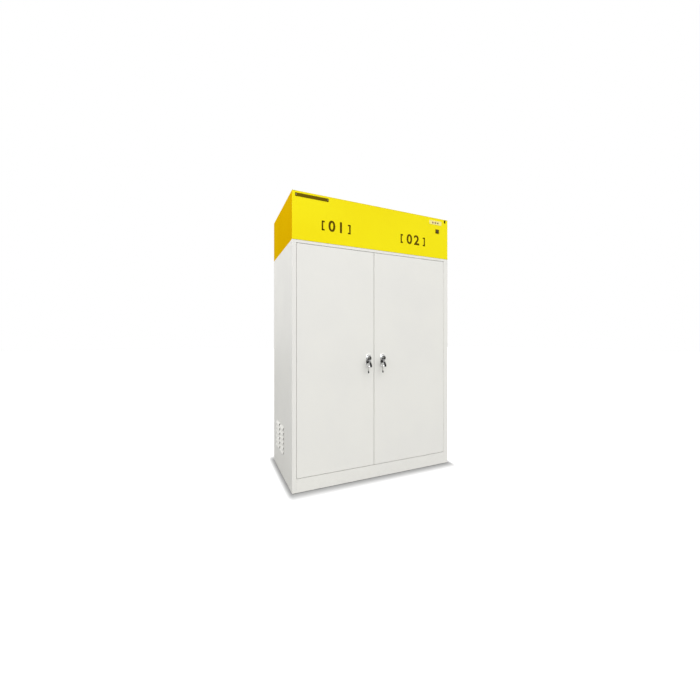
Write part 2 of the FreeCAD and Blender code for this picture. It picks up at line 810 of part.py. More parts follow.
def build_fan_plate():
    plate_front = front_y + 2 * sheet
    plate_back = back_y - sheet
    plate_left = x_left + sheet
    plate_right = x_right - sheet
    side_front = front_y + cover_fold + sheet
    top = block(plate_left, plate_right, side_front, plate_back, fan_plate_z, fan_plate_z + sheet)
    tongue = block(plate_left + cover_fold, plate_right - cover_fold, plate_front, side_front,
                   fan_plate_z, fan_plate_z + sheet)
    folds = [
        block(plate_left, plate_left + sheet, side_front, plate_back,
              fan_plate_z - fan_plate_fold, fan_plate_z),
        block(plate_right - sheet, plate_right, side_front, plate_back,
              fan_plate_z - fan_plate_fold, fan_plate_z),
        block(plate_left, plate_right, plate_back - sheet, plate_back,
              fan_plate_z - fan_plate_fold, fan_plate_z),
    ]
    holes = [rod_z(fan_plate_opening_radius, x, filter_y, fan_plate_z - overrun, fan_plate_z + overrun)
             for name, x in filter_places()]
    pieces["fan_plate"] = join(top, tongue, *folds).cut(holes)


def fan_frame(x):
    """Square frame with a round bore, and a motor on four arms."""
    half = 0.5 * fan_size
    body = block(x - half, x + half, filter_y - half, filter_y + half, fan_base, fan_base + fan_height)
    body = body.makeFillet(fan_corner, edges_along(body, AXIS_Z))
    body = body.cut(rod_z(fan_bore_radius, x, filter_y, fan_base - overrun, fan_base + fan_height + overrun))
    motor = rod_z(motor_radius, x, filter_y, fan_base, fan_base + motor_height)
    arm_half = 0.5 * motor_arm_width
    reach = fan_bore_radius + motor_arm_bite
    arm_top = fan_base + motor_arm_height
    arms = [
        block(x - reach, x + reach, filter_y - arm_half, filter_y + arm_half, fan_base, arm_top),
        block(x - arm_half, x + arm_half, filter_y - reach, filter_y + reach, fan_base, arm_top),
    ]
    axle_way = rod_z(axle_radius + running_fit, x, filter_y, arm_top, fan_base + motor_height + overrun)
    return join(body, motor, *arms).cut(axle_way)


def fan_rotor(x):
    """Hub, axle and twisted blades that turn together."""
    low = fan_base + rotor_rise - rotor_clearance
    hub = rod_z(rotor_hub_radius, x, filter_y, low, low + rotor_height)
    axle = rod_z(axle_radius, x, filter_y, fan_base + motor_arm_height + seat_gap, low)
    tip = fan_bore_radius - rotor_clearance
    blades = []
    for index in range(blade_count):
        root_x = rotor_hub_radius - blade_root
        chord = 0.5 * (rotor_height - 2 * rotor_clearance) / math.sin(math.radians(blade_pitch))
        blade = block(x + root_x, x + tip - rotor_clearance, filter_y - chord, filter_y + chord,
                      low + 0.5 * rotor_height - 0.5 * blade_thickness,
                      low + 0.5 * rotor_height + 0.5 * blade_thickness)
        blade.rotate(Vector(x, filter_y, low + 0.5 * rotor_height), AXIS_X, blade_pitch)
        blade.rotate(Vector(x, filter_y, low), AXIS_Z, index * 360 / blade_count)
        blades.append(blade)
    rim = rod_z(tip, x, filter_y, low, low + rotor_height)
    return join(hub, axle, *[blade.common(rim) for blade in blades])


def build_fans():
    for name, x in filter_places():
        pieces[name + "_fan_frame"] = fan_frame(x)
        pieces[name + "_fan_rotor"] = fan_rotor(x)


def build_cap():
    wall_front = front_y + sheet
    lid_low = cap_top - sheet
    walls = [
        block(x_left, x_left + sheet, wall_front, back_y, body_height, lid_low),
        block(x_right - sheet, x_right, wall_front, back_y, body_height, lid_low),
        block(x_left, x_right, back_y - sheet, back_y, body_height, lid_low),
    ]
    fold_front = front_y + cover_fold + 2 * sheet
    folds = [
        block(x_left, x_left + cover_fold, fold_front, back_y, body_height, body_height + sheet),
        block(x_right - cover_fold, x_right, fold_front, back_y, body_height, body_height + sheet),
        block(x_left, x_right, back_y - cover_fold, back_y, body_height, body_height + sheet),
    ]
    inlet_way = block(inlet_x - 0.5 * inlet_body_width, inlet_x + 0.5 * inlet_body_width,
                      back_y - sheet - overrun, back_y + overrun,
                      inlet_height - 0.5 * inlet_body_height, inlet_height + 0.5 * inlet_body_height)
    pieces["cap_shell"] = join(*walls, *folds).cut([inlet_way] + cap_screw_holes())

    low = body_height + cap_joint
    face = block(x_left, x_right, front_y, wall_front, low, lid_low - cap_joint)
    corners = upright_edges(face, x_left, front_y) + upright_edges(face, x_right, front_y)
    face = face.makeFillet(cover_edge_radius, corners)
    returns = [
        block(x_left + sheet, x_left + 2 * sheet, wall_front, front_y + cover_fold, low, lid_low),
        block(x_right - 2 * sheet, x_right - sheet, wall_front, front_y + cover_fold, low, lid_low),
        block(x_left + sheet, x_right - sheet, wall_front, front_y + cover_fold, low, low + sheet),
    ]
    switch_way = block(switch_x - 0.5 * bezel_body_width, switch_x + 0.5 * bezel_body_width,
                       front_y - overrun, wall_front + overrun,
                       switch_height - 0.5 * bezel_body_height, switch_height + 0.5 * bezel_body_height)
    pieces["cap_front_panel"] = join(face, *returns).cut([switch_way] + cap_screw_holes())

    top = block(x_left, x_right, front_y, back_y, lid_low, cap_top)
    top = top.makeFillet(cover_edge_radius, edges_at_z(top, cap_top))
    lip_low = lid_low - lid_lip
    lips = [
        block(x_left + cover_fold, x_right - cover_fold, wall_front, wall_front + sheet, lip_low, lid_low),
        block(x_left + cover_fold, x_right - cover_fold, back_y - 2 * sheet, back_y - sheet,
              lip_low, lid_low),
        block(x_left + sheet, x_left + 2 * sheet, fold_front, back_y - cover_fold, lip_low, lid_low),
        block(x_right - 2 * sheet, x_right - sheet, fold_front, back_y - cover_fold, lip_low, lid_low),
    ]
    slots = []
    for name, x in filter_places():
        for index in range(exhaust_slots):
            shift = (index - 0.5 * (exhaust_slots - 1)) * exhaust_slot_pitch
            slots.append(block(x + shift - 0.5 * exhaust_slot_width, x + shift + 0.5 * exhaust_slot_width,
                               filter_y - 0.5 * exhaust_slot_length, filter_y + 0.5 * exhaust_slot_length,
                               lid_low - overrun, cap_top + overrun))
    pieces["cap_lid"] = join(top, *lips).cut(slots)


# Switch, control box and inlet

rocker_axis_y = front_y + rocker_pivot_setback


def build_switch():
    flange = block(switch_x - 0.5 * bezel_width, switch_x + 0.5 * bezel_width,
                   front_y - bezel_flange, front_y,
                   switch_height - 0.5 * bezel_height, switch_height + 0.5 * bezel_height)
    body = block(switch_x - 0.5 * bezel_body_width, switch_x + 0.5 * bezel_body_width,
                 front_y, front_y + bezel_body_depth,
                 switch_height - 0.5 * bezel_body_height, switch_height + 0.5 * bezel_body_height)
    well_half = 0.5 * rocker_width + rocker_clearance
    well = block(switch_x - well_half, switch_x + well_half, front_y - bezel_flange - overrun,
                 front_y + rocker_well_depth,
                 switch_height - 0.5 * rocker_well_height, switch_height + 0.5 * rocker_well_height)
    pin_half = 0.5 * rocker_width + rocker_pin_length
    pin_way = rod_along_x(rocker_pin_radius + running_fit, rocker_axis_y, switch_height,
                          switch_x - pin_half - rocker_clearance, switch_x + pin_half + rocker_clearance)
    pieces["switch_bezel"] = join(flange, body).cut([well, pin_way])

    half = 0.5 * rocker_height
    outline = [
        (front_y - rocker_crown, switch_height + half),
        (front_y - rocker_dip, switch_height),
        (front_y - rocker_crown, switch_height - half),
        (rocker_axis_y, switch_height - half),
        (rocker_axis_y + rocker_keel, switch_height),
        (rocker_axis_y, switch_height + half),
    ]
    rocker = prism_x(outline, switch_x - 0.5 * rocker_width, switch_x + 0.5 * rocker_width)
    pin = rod_along_x(rocker_pin_radius, rocker_axis_y, switch_height,
                      switch_x - pin_half, switch_x + pin_half)
    rocker = join(rocker, pin)
    rocker.rotate(Vector(switch_x, rocker_axis_y, switch_height), AXIS_X, -rocker_tilt)
    pieces["switch_rocker"] = rocker


def build_control_box():
    low_y = front_y + control_box_setback
    box = block(switch_x - 0.5 * control_box_width, switch_x + 0.5 * control_box_width,
                low_y, low_y + control_box_depth, fan_base, fan_base + control_box_height)
    pieces["control_box"] = box.makeFillet(control_box_edge, edges_along(box, AXIS_Z))


def build_inlet():
    flange = rounded_plate(inlet_x, inlet_height, inlet_width, inlet_flange_height, inlet_wall,
                           back_y, back_y + inlet_flange)
    body = block(inlet_x - 0.5 * inlet_body_width, inlet_x + 0.5 * inlet_body_width,
                 back_y - inlet_body_depth, back_y,
                 inlet_height - 0.5 * inlet_body_height, inlet_height + 0.5 * inlet_body_height)
    well_width = 0.5 * inlet_body_width - inlet_wall
    well_height = 0.5 * inlet_body_height - inlet_wall
    well = block(inlet_x - well_width, inlet_x + well_width, back_y - inlet_well_depth, back_y + overrun,
                 inlet_height - well_height, inlet_height + well_height)
    pieces["power_inlet"] = join(flange, body).cut(well)


# Screws

def cap_screw_points():
    """Height of each screw through the cap's sides into the front cover's folds."""
    return [body_height + share * cap_height for share in cap_screw_shares]


def cap_screw_holes():
    y = front_y + screw_inset
    radius = screw_radius + bolt_clearance
    return [rod_along_x(radius, y, z, x - overrun, x + overrun)
            for z in cap_screw_points() for x in (x_left, x_right)]


def back_screw_places():
    """Screws round the edge of the back panel."""
    top = body_height - screw_inset - sheet
    foot = 0.5 * plinth_height
    return [(x_left + share * cabinet_width, z) for share in back_screw_shares for z in (foot, top)]


def back_screw_holes():
    return [rod_along_y(screw_radius + bolt_clearance, x, z, back_inner_y - overrun, back_y + overrun)
            for x, z in back_screw_places()]


def build_screws():
    screws = []
    y = front_y + screw_inset
    for z in cap_screw_points():
        for x, way in ((x_left, -1), (x_right, 1)):
            crown = x + way * screw_head_height
            point = x - way * screw_length
            head = rod_along_x(screw_head_radius, y, z, min(x, crown), max(x, crown))
            shank = rod_along_x(screw_radius, y, z, min(x, point), max(x, point))
            screws.append(join(head, shank))
    panel_face = back_inner_y + back_sheet
    for x, z in back_screw_places():
        head = rod_along_y(screw_head_radius, x, z, panel_face, panel_face + screw_head_height)
        shank = rod_along_y(screw_radius, x, z, panel_face - back_sheet - sheet, panel_face)
        screws.append(join(head, shank))
    pieces["cover_screws"] = group(screws)


def build_all():
    build_carcass()
    build_hinge_pins()
    build_seals()
    build_feet()
    for name, door in doors.items():
        build_door(name, door)
        for index in range(drawers_per_column):
            build_drawer(name, index)
    build_runners()
    build_filters()
    build_fan_plate()
    build_fans()
    build_cap()
    build_switch()
    build_control_box()
    build_inlet()
    build_screws()


build_all()
os.makedirs("parts", exist_ok=True)
for node, shape in pieces.items():
    shape.exportStep("parts/" + node + ".step")
print(len(pieces), "nodes")
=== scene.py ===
import bpy
import bmesh
import json
import math
import random
from mathutils import Matrix, Vector


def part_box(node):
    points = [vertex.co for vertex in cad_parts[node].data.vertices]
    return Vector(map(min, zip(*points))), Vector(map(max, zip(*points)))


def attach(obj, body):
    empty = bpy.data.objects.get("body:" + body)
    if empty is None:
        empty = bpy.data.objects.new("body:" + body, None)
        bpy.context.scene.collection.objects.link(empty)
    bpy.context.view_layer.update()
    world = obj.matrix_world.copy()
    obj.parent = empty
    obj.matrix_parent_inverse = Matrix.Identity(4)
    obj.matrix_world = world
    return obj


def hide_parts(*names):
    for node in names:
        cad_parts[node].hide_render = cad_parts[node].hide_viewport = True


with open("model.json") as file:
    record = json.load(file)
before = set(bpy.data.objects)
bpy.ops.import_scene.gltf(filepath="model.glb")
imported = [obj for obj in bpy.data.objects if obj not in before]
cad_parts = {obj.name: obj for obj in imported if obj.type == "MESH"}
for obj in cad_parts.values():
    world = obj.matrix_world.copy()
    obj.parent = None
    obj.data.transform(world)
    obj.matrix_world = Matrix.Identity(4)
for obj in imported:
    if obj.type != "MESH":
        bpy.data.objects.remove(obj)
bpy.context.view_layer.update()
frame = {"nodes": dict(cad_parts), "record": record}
random.seed(11)

# Metres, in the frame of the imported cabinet: X along the front, Y from front to back, Z up.
mm = 0.001
front_y = -279 * mm
back_y = 321 * mm
side_x = 600 * mm
lock_height = 816 * mm
spare_reach = 80 * mm

# X of each door's lever, the way its lock turns, and X of each fan.
locks = {"left": -80 * mm, "right": 29 * mm}
turn_sides = {"left": 1, "right": -1}
fans = {"left": -288 * mm, "right": 288 * mm}
fan_y = 21 * mm
fan_base = 1701.5 * mm


# Shader wiring

def put(tree, kind, feeds=None, **options):
    """A shader node with its options set and its sockets linked or filled."""
    node = tree.nodes.new("ShaderNode" + kind)
    for option, value in options.items():
        setattr(node, option, value)
    for name, value in (feeds or {}).items():
        socket = node.inputs[name]
        if isinstance(value, bpy.types.NodeSocket):
            tree.links.new(value, socket)
        else:
            socket.default_value = value
    return node


def reckon(tree, operation, first, second=0.0, third=0.0):
    """One step of arithmetic. Only MULTIPLY_ADD uses the third value."""
    feeds = {0: first, 1: second}
    if operation == "MULTIPLY_ADD":
        feeds[2] = third
    return put(tree, "Math", feeds, operation=operation).outputs[0]


def lessened(tree, mask, strength):
    """A mask at part of its strength."""
    return reckon(tree, "MULTIPLY", mask, strength)


def raised(tree, base, mask, amount):
    """base, with amount added where mask is 1."""
    return reckon(tree, "MULTIPLY_ADD", mask, amount, base)


def ramp(tree, value, low, high, start=0.0, end=1.0):
    """value from low to high becomes start to end, eased and held at both ends."""
    feeds = {"Value": value, "From Min": low, "From Max": high, "To Min": start, "To Max": end}
    return put(tree, "MapRange", feeds, interpolation_type="SMOOTHSTEP", clamp=True).outputs[0]


def mix_colour(tree, factor, first, second):
    """The first colour where factor is 0, the second where it is 1."""
    return put(tree, "Mix", {0: factor, 6: first, 7: second}, data_type="RGBA").outputs[2]


def place(tree):
    """Where a point is on its own piece, in metres."""
    return put(tree, "TexCoord").outputs["Object"]


def outward(tree):
    """The way a surface faces, as a unit vector."""
    return put(tree, "NewGeometry").outputs["Normal"]


def noise(tree, where, scale, detail=3.0, roughness=0.5):
    """Cloudy noise between 0 and 1, about scale clouds to a metre."""
    feeds = {"Vector": where, "Scale": scale, "Detail": detail, "Roughness": roughness}
    return put(tree, "TexNoise", feeds).outputs[0]


def stretched(tree, where, x, y, z):
    """The place scaled along each axis, so that a pattern on it runs longer where the scale is small."""
    return put(tree, "Mapping", {"Vector": where, "Scale": (x, y, z)}).outputs[0]


def effect(name, inputs, outputs):
    """An empty node group with its sockets, and its input and output nodes."""
    group = bpy.data.node_groups.new(name, "ShaderNodeTree")
    for label, value in inputs.items():
        socket = group.interface.new_socket(label, in_out="INPUT", socket_type="NodeSocketFloat")
        socket.default_value = value
    for label in outputs:
        group.interface.new_socket(label, in_out="OUTPUT", socket_type="NodeSocketFloat")
    return group, group.nodes.new("NodeGroupInput").outputs, group.nodes.new("NodeGroupOutput").inputs


def use(tree, group, **values):
    """One use of an effect in a material. Underscores in the value names stand for spaces."""
    node = tree.nodes.new("ShaderNodeGroup")
    node.node_tree = group
    for name, value in values.items():
        node.inputs[name.replace("_", " ").capitalize()].default_value = value
    return node.outputs


def make_powder_grain():
    """The fine orange peel of powder coat, and the slow unevenness of its colour."""
    group, given, out = effect("powder grain", {"Grain": 850.0, "Patch": 3.0}, ("Height", "Mottle"))
    where = place(group)
    broad_scale = lessened(group, given["Grain"], 0.16)
    fine = noise(group, where, given["Grain"], detail=2.0, roughness=0.6)
    broad = noise(group, where, broad_scale, detail=2.0)
    patches = noise(group, where, given["Patch"], detail=4.0)
    group.links.new(raised(group, fine, broad, 0.8), out["Height"])
    group.links.new(ramp(group, patches, 0.3, 0.7), out["Mottle"])
    return group


def make_edge_wear_and_highlight():
    """Outer edges and folds: 1 on the edge, broken up by noise. It marks rubbed wear, and on the white and
    yellow paint a lighter edge that is a painted highlight.
    """
    group, given, out = effect("edge wear and highlight", {"Reach": 1.5 * mm, "Breakup": 60.0}, ("Mask",))
    unworn, worn = 0.99, 0.86
    rounded = put(group, "Bevel", {"Radius": given["Reach"]}, samples=4).outputs[0]
    feeds = {0: rounded, 1: outward(group)}
    likeness = put(group, "VectorMath", feeds, operation="DOT_PRODUCT").outputs["Value"]
    edge = ramp(group, likeness, unworn, worn)
    spots = noise(group, place(group), given["Breakup"], detail=5.0, roughness=0.65)
    rubbed = reckon(group, "MULTIPLY", edge, ramp(group, spots, 0.35, 0.65))
    group.links.new(rubbed, out["Mask"])
    return group


def make_floor_dust():
    """Dust that gathers near the floor and lies on upward faces."""
    group, given, out = effect("floor dust", {"Height": 0.12, "Lying": 0.5}, ("Mask",))
    where = place(group)
    level = put(group, "SeparateXYZ", {0: where}).outputs[2]
    low = ramp(group, reckon(group, "DIVIDE", level, given["Height"]), 1.0, 0.0)
    upward = ramp(group, put(group, "SeparateXYZ", {0: outward(group)}).outputs[2], 0.6, 0.95)
    specks = noise(group, where, 38.0, detail=6.0, roughness=0.7)
    lying = reckon(group, "MULTIPLY", upward, given["Lying"])
    both = reckon(group, "MAXIMUM", low, lying)
    group.links.new(reckon(group, "MULTIPLY", both, ramp(group, specks, 0.4, 0.75)), out["Mask"])
    return group


def make_smears():
    """Faint wiped arcs and finger marks that change only the gloss."""
    group, given, out = effect("smears", {"Size": 9.0, "Share": 0.5}, ("Mask",))
    where = place(group)
    bend = noise(group, where, 2.0, detail=1.0)
    bent = put(group, "VectorMath", {0: where, 1: bend}, operation="ADD").outputs[0]
    upright = stretched(group, bent, 1.0, 1.0, 0.22)
    strokes = noise(group, upright, given["Size"], detail=5.0, roughness=0.6)
    group.links.new(ramp(group, strokes, given["Share"], 0.8), out["Mask"])
    return group


def make_brushing():
    """Fine lines along one axis: heights for the bump and a tone."""
    group, given, out = effect("brushing", {"Along": 8.0, "Across": 900.0}, ("Height", "Tone"))
    where = place(group)
    scale = put(group, "CombineXYZ", {0: given["Along"], 1: given["Across"], 2: given["Across"]}).outputs[0]
    run = put(group, "VectorMath", {0: where, 1: scale}, operation="MULTIPLY").outputs[0]
    lines = noise(group, run, 1.0, detail=3.0, roughness=0.6)
    group.links.new(lines, out["Height"])
    group.links.new(ramp(group, lines, 0.3, 0.7), out["Tone"])
    return group


def make_spangle():
    """The flat crystals of zinc plate, each with its own tone."""
    group, given, out = effect("zinc spangle", {"Size": 90.0}, ("Tone", "Border"))
    feeds = {"Vector": place(group), "Scale": given["Size"]}
    flakes = put(group, "TexVoronoi", feeds)
    tone = put(group, "SeparateColor", {0: flakes.outputs["Color"]}).outputs[0]
    borders = put(group, "TexVoronoi", feeds, feature="DISTANCE_TO_EDGE")
    group.links.new(tone, out["Tone"])
    group.links.new(ramp(group, borders.outputs["Distance"], 0.0, 0.06), out["Border"])
    return group


def make_granules():
    """Packed grains of filter carbon."""
    group, given, out = effect("granules", {"Size": 320.0}, ("Height", "Tone"))
    cells = put(group, "TexVoronoi", {"Vector": place(group), "Scale": given["Size"]})
    group.links.new(reckon(group, "SUBTRACT", 1.0, cells.outputs["Distance"]), out["Height"])
    group.links.new(put(group, "SeparateColor", {0: cells.outputs["Color"]}).outputs[1], out["Tone"])
    return group


def make_fibres():
    """Loose crossing fibres of a fleece mat or paper card."""
    group, given, out = effect("fibres", {"Size": 260.0}, ("Height", "Tone"))
    where = place(group)
    fibre_stretch = 0.18
    one_way = stretched(group, where, 1.0, fibre_stretch, 1.0)
    other_way = stretched(group, where, fibre_stretch, 1.0, 0.5)
    both = reckon(group, "MAXIMUM", noise(group, one_way, given["Size"], detail=5.0, roughness=0.7),
                  noise(group, other_way, given["Size"], detail=5.0, roughness=0.7))
    group.links.new(both, out["Height"])
    group.links.new(ramp(group, both, 0.45, 0.75), out["Tone"])
    return group


powder_grain = make_powder_grain()
edge_wear_and_highlight = make_edge_wear_and_highlight()
floor_dust = make_floor_dust()
smears = make_smears()
brushing = make_brushing()
zinc_spangle = make_spangle()
granules = make_granules()
fibres = make_fibres()


def linear(red, green, blue):
    """A colour as seen on a screen, 0 to 255, as the shader's linear values."""
    values = []
    for level in (red, green, blue):
        share = level / 255
        values.append(share / 12.92 if share <= 0.04045 else ((share + 0.055) / 1.055) ** 2.4)
    return values + [1.0]


def new_finish(name, **values):
    """A material with one surface shader whose plain sockets are filled."""
    material = bpy.data.materials.new(name)
    material.use_nodes = True
    tree = material.node_tree
    shader = tree.nodes["Principled BSDF"]
    for socket, value in values.items():
        shader.inputs[socket.replace("_", " ")].default_value = value
    return material, tree, shader


def feed(tree, shader, **sources):
    """Links changing values to the surface shader. Underscores in their names stand for spaces."""
    for socket, source in sources.items():
        tree.links.new(source, shader.inputs[socket.replace("_", " ")])


def bump(tree, shader, height, depth):
    """Relief of the given depth in metres."""
    node = put(tree, "Bump", {"Height": height, "Distance": depth})
    tree.links.new(node.outputs[0], shader.inputs["Normal"])


def powder_paint(name, colour, uneven, worn, rough, shine=0.42, grain=850.0, depth=0.06 * mm,
                 wear=0.35, dust=0.12, lying=0.35):
    """Powder coat: orange peel, slow mottling, toned edges and folds, dust and wiped patches. Edges go
    towards worn: on the tray a darker rubbed wear, on the white and yellow paint a lighter painted highlight.
    """
    dust_colour = linear(150, 142, 128)
    dust_strength = 0.08
    material, tree, shader = new_finish(name, Specular_IOR_Level=shine)
    grains = use(tree, powder_grain, grain=grain, patch=2.6)
    edge = use(tree, edge_wear_and_highlight, reach=1.6 * mm, breakup=70.0)["Mask"]
    dusty = use(tree, floor_dust, height=dust, lying=lying)["Mask"]
    wiped = use(tree, smears, size=7.0, share=0.52)["Mask"]
    tone = mix_colour(tree, grains["Mottle"], colour, uneven)
    # Edges and folds towards worn: painted highlight where worn is lighter than the paint, rubbed wear where
    # it is darker.
    tone = mix_colour(tree, lessened(tree, edge, wear), tone, worn)
    tone = mix_colour(tree, lessened(tree, dusty, dust_strength), tone, dust_colour)
    gloss = raised(tree, rough, grains["Mottle"], 0.05)
    gloss = raised(tree, gloss, wiped, 0.07)
    gloss = raised(tree, gloss, dusty, 0.25)
    feed(tree, shader, Base_Color=tone, Roughness=gloss)
    bump(tree, shader, grains["Height"], depth)
    return material


def plated_steel(name, colour, dull, rough):
    """Zinc plate: crystals, faint drawing lines and dull handled patches."""
    bright_edge = linear(225, 226, 228)
    material, tree, shader = new_finish(name, Metallic=1.0)
    flakes = use(tree, zinc_spangle, size=90.0)
    lines = use(tree, brushing, along=14.0, across=620.0)
    wiped = use(tree, smears, size=12.0, share=0.45)["Mask"]
    edge = use(tree, edge_wear_and_highlight, reach=0.8 * mm, breakup=120.0)["Mask"]
    tone = mix_colour(tree, flakes["Tone"], colour, dull)
    tone = mix_colour(tree, lessened(tree, edge, 0.4), tone, bright_edge)
    gloss = raised(tree, rough, flakes["Tone"], 0.12)
    gloss = raised(tree, gloss, wiped, 0.15)
    feed(tree, shader, Base_Color=tone, Roughness=gloss)
    bump(tree, shader, raised(tree, flakes["Border"], lines["Height"], 0.5), 0.03 * mm)
    return material


def polished_plate(name, colour, haze, rough):
    """Chrome or nickel plate with hairlines, finger haze and worn edges."""
    material, tree, shader = new_finish(name, Metallic=1.0)
    lines = use(tree, brushing, along=60.0, across=1500.0)
    wiped = use(tree, smears, size=70.0, share=0.42)["Mask"]
    edge = use(tree, edge_wear_and_highlight, reach=0.6 * mm, breakup=400.0)["Mask"]
    tone = mix_colour(tree, wiped, colour, haze)
    tone = mix_colour(tree, lessened(tree, edge, 0.45), tone, haze)
    gloss = raised(tree, rough, wiped, 0.16)
    feed(tree, shader, Base_Color=tone, Roughness=gloss)
    bump(tree, shader, lines["Height"], 0.012 * mm)
    return material


def moulded_plastic(name, colour, pale, rough, grain=1400.0, shine=0.5):
    """Moulded plastic: spark texture, rubbed edges and settled dust."""
    dust_colour = linear(150, 146, 138)
    dust_strength = 0.25
    material, tree, shader = new_finish(name, Specular_IOR_Level=shine)
    grains = use(tree, powder_grain, grain=grain, patch=24.0)
    edge = use(tree, edge_wear_and_highlight, reach=0.7 * mm, breakup=180.0)["Mask"]
    dusty = use(tree, floor_dust, height=0.02, lying=0.5)["Mask"]
    tone = mix_colour(tree, lessened(tree, grains["Mottle"], 0.35), colour, pale)
    tone = mix_colour(tree, lessened(tree, edge, 0.5), tone, pale)
    tone = mix_colour(tree, lessened(tree, dusty, dust_strength), tone, dust_colour)
    gloss = raised(tree, rough, grains["Mottle"], 0.08)
    feed(tree, shader, Base_Color=tone, Roughness=gloss)
    bump(tree, shader, grains["Height"], 0.05 * mm)
    return material


def soft_rubber(name, colour, bloom, rough, cell=900.0, depth=0.1 * mm):
    """Rubber: closed cells and a pale bloom on the raised parts."""
    material, tree, shader = new_finish(name)
    cells = use(tree, granules, size=cell)
    grains = use(tree, powder_grain, grain=500.0, patch=30.0)
    tone = mix_colour(tree, lessened(tree, grains["Mottle"], 0.5), colour, bloom)
    tone = mix_colour(tree, lessened(tree, cells["Tone"], 0.2), tone, bloom)
    feed(tree, shader, Base_Color=tone, Roughness=raised(tree, rough, cells["Tone"], 0.1))
    bump(tree, shader, cells["Height"], depth)
    return material


def fibre_mat(name, colour, shade, size, depth):
    """Fleece or paper: crossing fibres over a slow mottling."""
    material, tree, shader = new_finish(name, Specular_IOR_Level=0.2)
    strands = use(tree, fibres, size=size)
    mottled = use(tree, powder_grain, grain=300.0, patch=9.0)["Mottle"]
    tone = mix_colour(tree, strands["Tone"], shade, colour)
    tone = mix_colour(tree, lessened(tree, mottled, 0.4), tone, shade)
    feed(tree, shader, Base_Color=tone, Roughness=raised(tree, 0.84, strands["Tone"], 0.08))
    bump(tree, shader, strands["Height"], depth)
    return material


def filter_case_finish():
    """Aluminium case with drawn lines. The inset faces show the granules behind their mesh."""
    material, tree, shader = new_finish("filter case")
    lines = use(tree, brushing, along=10.0, across=700.0)
    grains = use(tree, granules, size=330.0)
    level = reckon(tree, "ABSOLUTE", put(tree, "SeparateXYZ", {0: outward(tree)}).outputs[2])
    bed = reckon(tree, "GREATER_THAN", level, 0.9)
    case = mix_colour(tree, lines["Tone"], linear(196, 198, 200), linear(176, 179, 182))
    carbon = mix_colour(tree, grains["Tone"], linear(24, 24, 26), linear(58, 58, 60))
    feed(tree, shader, Base_Color=mix_colour(tree, bed, case, carbon),
         Metallic=reckon(tree, "SUBTRACT", 1.0, bed),
         Roughness=raised(tree, 0.38, bed, 0.35))
    bump(tree, shader, reckon(tree, "MULTIPLY", grains["Height"], bed), 1.2 * mm)
    return material


def printed_mark(name, colour, pale, rough):
    """Screen printed ink, slightly thin in places."""
    material, tree, shader = new_finish(name, Specular_IOR_Level=0.06)
    grains = use(tree, powder_grain, grain=900.0, patch=60.0)
    tone = mix_colour(tree, lessened(tree, grains["Mottle"], 0.3), colour, pale)
    feed(tree, shader, Base_Color=tone, Roughness=raised(tree, rough, grains["Mottle"], 0.1))
    bump(tree, shader, grains["Height"], 0.03 * mm)
    return material


def lamp_lens(name, colour, deep):
    """A small tinted lens, unlit: a clear coat over a ribbed body."""
    material, tree, shader = new_finish(name, Coat_Weight=0.4, Coat_Roughness=0.1, Roughness=0.3)
    cells = use(tree, granules, size=1100.0)
    feed(tree, shader, Base_Color=mix_colour(tree, cells["Tone"], colour, deep))
    bump(tree, shader, cells["Height"], 0.1 * mm)
    return material


# Finishes of the slots

finishes = {
    "white_paint": powder_paint(
        "white paint", linear(232, 231, 225), linear(229, 228, 223), linear(240, 239, 235), rough=0.40),
    "yellow_paint": powder_paint(
        "yellow front paint", linear(246, 231, 6), linear(244, 226, 3), linear(250, 238, 80), rough=0.44,
        shine=0.08, wear=0.22, dust=0.001, lying=0.15),
    "tray_paint": powder_paint(
        "tray paint", linear(225, 227, 225), linear(220, 222, 221), linear(190, 190, 188), rough=0.36,
        grain=700.0, depth=0.04 * mm, wear=0.5, dust=0.01, lying=0.25),
    "zinc_steel": plated_steel("zinc steel", linear(190, 192, 194), linear(166, 168, 172), rough=0.30),
    "chrome": polished_plate("chrome plate", linear(205, 206, 208), linear(178, 179, 182), rough=0.10),
    "key_steel": polished_plate("key nickel", linear(172, 171, 166), linear(150, 149, 145), rough=0.20),
    "seal_rubber": soft_rubber("seal foam", linear(40, 40, 42), linear(66, 66, 68), rough=0.72),
    "black_plastic": moulded_plastic("black plastic", linear(26, 26, 28), linear(62, 62, 64), rough=0.46),
    "grey_plastic": moulded_plastic("grey plastic", linear(168, 170, 172), linear(190, 192, 194), rough=0.5),
    "rocker_plastic": moulded_plastic(
        "rocker plastic", linear(58, 44, 2), linear(74, 58, 6), rough=0.5, shine=0.08),
    "filter_case": filter_case_finish(),
    "filter_fleece": fibre_mat(
        "pre-filter fleece", linear(236, 236, 233), linear(214, 214, 211), size=210.0, depth=0.6 * mm),
}

# Finishes of pieces made below, and of two pieces of the cap that differ from their slot. The cap shell's
# yellow is a darker, more orange copy of the front's, a painted side shade

# The cap's sides and back: the front yellow darkened towards orange, painted shade of the sides.
yellow_with_painted_side_shade = powder_paint(
    "yellow paint with painted side shade", linear(224, 180, 4), linear(221, 175, 2), linear(236, 204, 50), rough=0.5,
    shine=0.0, wear=0.22, dust=0.001, lying=0.25)
grip_plastic = moulded_plastic(
    "grip plastic", linear(8, 8, 8), linear(30, 30, 30), rough=0.5, grain=1100.0, shine=0.3)
name_enamel = moulded_plastic(
    "name plate enamel", linear(104, 84, 0), linear(116, 96, 4), rough=0.7, shine=0.06)
switch_plastic = moulded_plastic(
    "switch plastic", linear(126, 102, 2), linear(136, 112, 8), rough=0.6, shine=0.08)
plug_plastic = moulded_plastic(
    "plug plastic", linear(22, 20, 2), linear(40, 36, 6), rough=0.7, shine=0.05)
plate_enamel = moulded_plastic(
    "plate enamel", linear(247, 234, 150), linear(244, 228, 130), rough=0.5, shine=0.2)
